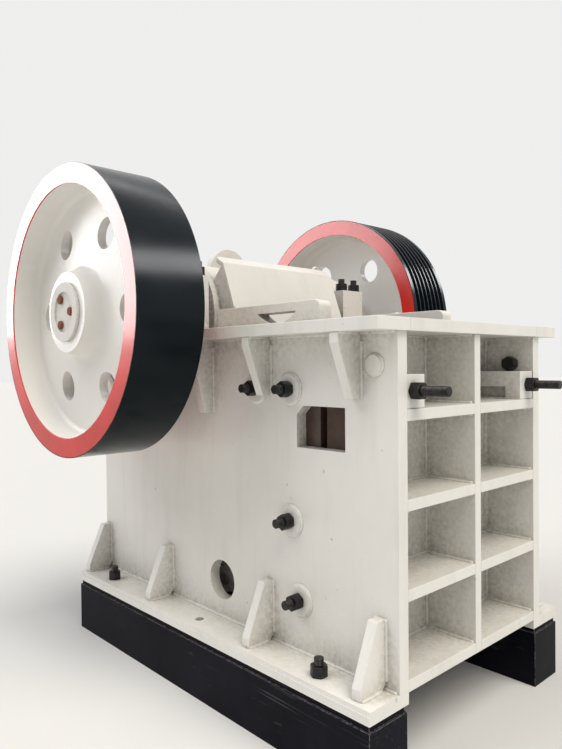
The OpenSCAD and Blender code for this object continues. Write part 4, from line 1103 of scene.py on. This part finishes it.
class CRUSHER_OT_welds(bpy.types.Operator):
    """Lays weld beads along the seams of the frame"""
    bl_idname = "crusher.welds"
    bl_label = "Welds"

    def execute(self, context):
        bm = bmesh.new()
        add_beads(bm, self.cell_seams() + self.wall_seams() + self.gusset_seams())
        for low, high in solid_groups("wall_rings"):
            middle = (low + high) / 2
            sign = 1 if middle.y > 0 else -1
            ring_bead(bm, (middle.x, WALL_HIGH.y * sign, middle.z), Y_AXIS * sign, (high.z - low.z) / 2)
        new_piece("frame_welds", bm, "Plate enamel", "frame", smooth=60.0)
        return {"FINISHED"}

    def cell_seams(self):
        """Along the corners of the cells and round their backs, at the front and the rear."""
        seams = []
        levels = sorted({round(v, 4) for low, high in solid_groups("front_ribs") for v in (low.z, high.z)})
        levels = levels[1:] + [WALL_HIGH.z]
        inner = (RIB_SIDE, WALL_LOW.y)
        deep, front = FRONT_FACE, WALL_HIGH.x - SEAM_END
        for end in (1, -1):
            for side in (1, -1):
                for low, high in zip(levels[::2], levels[1::2]):
                    for y in inner:
                        for z in (low, high):
                            seams.append(((end * deep, side * y, z), (end * front, side * y, z)))
                        seams.append(((end * deep, side * y, low), (end * deep, side * y, high)))
                    for z in (low, high):
                        seams.append(((end * deep, side * inner[0], z), (end * deep, side * inner[1], z)))
        return seams

    def wall_seams(self):
        """Where the side walls stand on the foot plates and meet the flange."""
        seams = []
        start, end = WALL_LOW.x + SEAM_END, WALL_HIGH.x - SEAM_END
        saddle_low, saddle_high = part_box("saddle_gussets")
        middle = (saddle_low.x + saddle_high.x) / 2
        half = 0.20
        for side in (1, -1):
            y = side * WALL_HIGH.y
            seams.append(((start, y, FOOT_TOP), (end, y, FOOT_TOP)))
            seams.append(((start, y, WALL_HIGH.z), (middle - half, y, WALL_HIGH.z)))
            seams.append(((middle + half, y, WALL_HIGH.z), (end, y, WALL_HIGH.z)))
        return seams

    def gusset_seams(self):
        """Up both sides of each gusset and along the plate that it stands on."""
        seams = []
        inset, tip_gap = 0.028, 0.004
        for node, plate in (("foot_gussets", FOOT_TOP), ("flange_gussets", FLANGE_UNDERSIDE)):
            for low, high in solid_groups(node):
                side = 1 if low.y > 0 else -1
                root = side * WALL_HIGH.y
                tip = side * (max(abs(low.y), abs(high.y)) - tip_gap)
                far = high.z if plate < high.z - 0.01 else low.z
                sense = 1 if far > plate else -1
                for x in (low.x, high.x):
                    seams.append(((x, root, plate + sense * inset), (x, root, far)))
                    seams.append(((x, root + side * inset, plate), (x, tip, plate)))
        return seams


class CRUSHER_OT_stage(bpy.types.Operator):
    """Sets the floor, the lights and the camera"""
    bl_idname = "crusher.stage"
    bl_label = "Stage"

    def execute(self, context):
        for name in ("Cube", "Light", "Camera"):
            leftover = bpy.data.objects.get(name)
            if leftover:
                bpy.data.objects.remove(leftover)
        stage = settings().stage
        self.floor(stage)
        self.world(stage)
        self.sun("Side light", (-0.42, -0.50, 0.76), stage.side, (0.98, 0.985, 1.0), 40.0)
        self.sun("Front light", (0.50, -0.05, 0.86), stage.front, (1.0, 0.95, 0.86), 40.0)
        self.panel("Side panel", (-8.3, -5.0, 4.6), (7.0, 5.6), stage.gloss)
        self.panel("Roof light", (4.05, 2.4, 5.0), (11.0, 1.5), stage.gloss * 1.4)
        self.panel("Far roof light", (-1.7, 2.2, 7.0), (11.0, 0.25), stage.gloss * 0.5)
        self.camera()
        context.scene.view_settings.view_transform = "Standard"
        return {"FINISHED"}

    def floor(self, stage):
        bm = bmesh.new()
        bmesh.ops.create_grid(bm, x_segments=8, y_segments=8, size=60.0)
        mesh = bpy.data.meshes.new("Floor")
        bm.to_mesh(mesh)
        bm.free()
        made = bpy.data.objects.new("Floor", mesh)
        bpy.context.scene.collection.objects.link(made)
        finish, tree, shader, place = start_material("Floor")
        clouds = noise(tree, place, 1.3, 5.0)
        colour = blended(tree, clouds, stage.floor, shade(stage.floor, 0.97))
        joined_to(tree, colour, shader, "Base Color")
        shader.inputs["Roughness"].default_value = 0.85
        mesh.materials.append(finish)

    def world(self, stage):
        """Even light from all sides, with a pale backdrop for the camera, for gloss and for glass."""
        world = bpy.data.worlds.new("Studio")
        world.use_nodes = True
        tree = world.node_tree
        light = tree.nodes["Background"]
        light.inputs["Color"].default_value = (0.94, 0.97, 1.0, 1.0)
        light.inputs["Strength"].default_value = stage.fill
        backdrop = add_node(tree, "ShaderNodeBackground", {"Color": (*stage.sky, 1.0), "Strength": 1.0})
        path = add_node(tree, "ShaderNodeLightPath").outputs
        seen = calc(tree, "MAXIMUM", path["Is Camera Ray"], path["Is Glossy Ray"])
        seen = calc(tree, "MAXIMUM", seen, path["Is Transmission Ray"])
        mixed = add_node(tree, "ShaderNodeMixShader", {0: seen, 1: light.outputs[0], 2: backdrop.outputs[0]})
        tree.links.new(mixed.outputs[0], tree.nodes["World Output"].inputs["Surface"])
        bpy.context.scene.world = world

    def lamp(self, name, light, place, aim):
        made = bpy.data.objects.new(name, light)
        bpy.context.scene.collection.objects.link(made)
        turn = aim.to_track_quat("-Z", "Y").to_matrix().to_4x4()
        made.matrix_world = Matrix.Translation(place) @ turn
        return made

    def sun(self, name, towards, strength, colour, width):
        """A broad even light from one direction."""
        light = bpy.data.lights.new(name, "SUN")
        light.energy = strength
        light.color = colour
        light.angle = math.radians(width)
        self.lamp(name, light, Vector(towards) * 10, -Vector(towards))

    def panel(self, name, place, size, strength):
        """A bright panel that faces the shaft and lights nothing, but shows in the wheels' gloss."""
        light = bpy.data.lights.new(name, "AREA")
        light.shape = "RECTANGLE"
        light.size, light.size_y = size
        light.energy = strength * math.pi * size[0] * size[1]
        made = self.lamp(name, light, Vector(place), SHAFT - Vector(place))
        made.visible_camera = made.visible_diffuse = made.visible_transmission = False
        wheels = bpy.data.collections.get("Glossy wheels") or bpy.data.collections.new("Glossy wheels")
        for piece in ("belt_pulley_dressed", "flywheel_dressed"):
            if piece not in wheels.objects:
                wheels.objects.link(bpy.data.objects[piece])
        made.light_linking.receiver_collection = wheels

    def camera(self):
        """The photograph's viewpoint, found from the machine's straight edges and circles."""
        yaw, pitch, roll = math.radians(47.16), math.radians(0.825), math.radians(-0.50)
        place = Vector((2.2714, -2.2009, 1.3769))
        level = Vector((math.cos(yaw), math.sin(yaw), 0))
        ahead = Vector((-math.sin(yaw), math.cos(yaw), 0)) * math.cos(pitch) - Z_AXIS * math.sin(pitch)
        upright = level.cross(ahead)
        right = level * math.cos(roll) + upright * math.sin(roll)
        up = upright * math.cos(roll) - level * math.sin(roll)
        turn = Matrix((right, up, -ahead)).transposed().to_4x4()
        lens = bpy.data.cameras.new("Camera")
        lens.sensor_width = 36.0
        lens.lens = 31.32
        lens.clip_end = 200.0
        made = bpy.data.objects.new("Camera", lens)
        bpy.context.scene.collection.objects.link(made)
        made.matrix_world = Matrix.Translation(place) @ turn
        bpy.context.scene.camera = made


OPERATORS = (CRUSHER_OT_frame_plates, CRUSHER_OT_castings, CRUSHER_OT_swing_jaw, CRUSHER_OT_base,
             CRUSHER_OT_wear_parts, CRUSHER_OT_wheels, CRUSHER_OT_fasteners, CRUSHER_OT_springs,
             CRUSHER_OT_eyebolts, CRUSHER_OT_welds, CRUSHER_OT_stage)
GROUPS = (FinishSettings, EdgeSettings, WeldSettings, FastenerSettings, WheelSettings, JawSettings,
          StageSettings, CrusherSettings)


class CRUSHER_PT_panel(bpy.types.Panel):
    """Lists the machine's pieces and settings"""
    bl_idname = "CRUSHER_PT_panel"
    bl_label = "Jaw crusher"
    bl_space_type = "VIEW_3D"
    bl_region_type = "UI"
    bl_category = "Jaw crusher"

    def draw(self, context):
        for part in ("finish", "edges", "welds", "fasteners", "wheels", "jaw", "stage"):
            box = self.layout.box()
            box.label(text=part.capitalize())
            group = getattr(context.scene.crusher, part)
            for name in group.bl_rna.properties.keys():
                if name not in ("rna_type", "name"):
                    box.prop(group, name)
        for operator in OPERATORS:
            self.layout.operator(operator.bl_idname)


CLASSES = (*GROUPS, *OPERATORS, CRUSHER_PT_panel)


def register():
    for made in CLASSES:
        bpy.utils.register_class(made)
    bpy.types.Scene.crusher = bpy.props.PointerProperty(type=CrusherSettings)


def unregister():
    del bpy.types.Scene.crusher
    for made in reversed(CLASSES):
        bpy.utils.unregister_class(made)


def main():
    register()
    for operator in OPERATORS:
        group, name = operator.bl_idname.split(".")
        getattr(getattr(bpy.ops, group), name)()


if __name__ == "__main__":
    main()
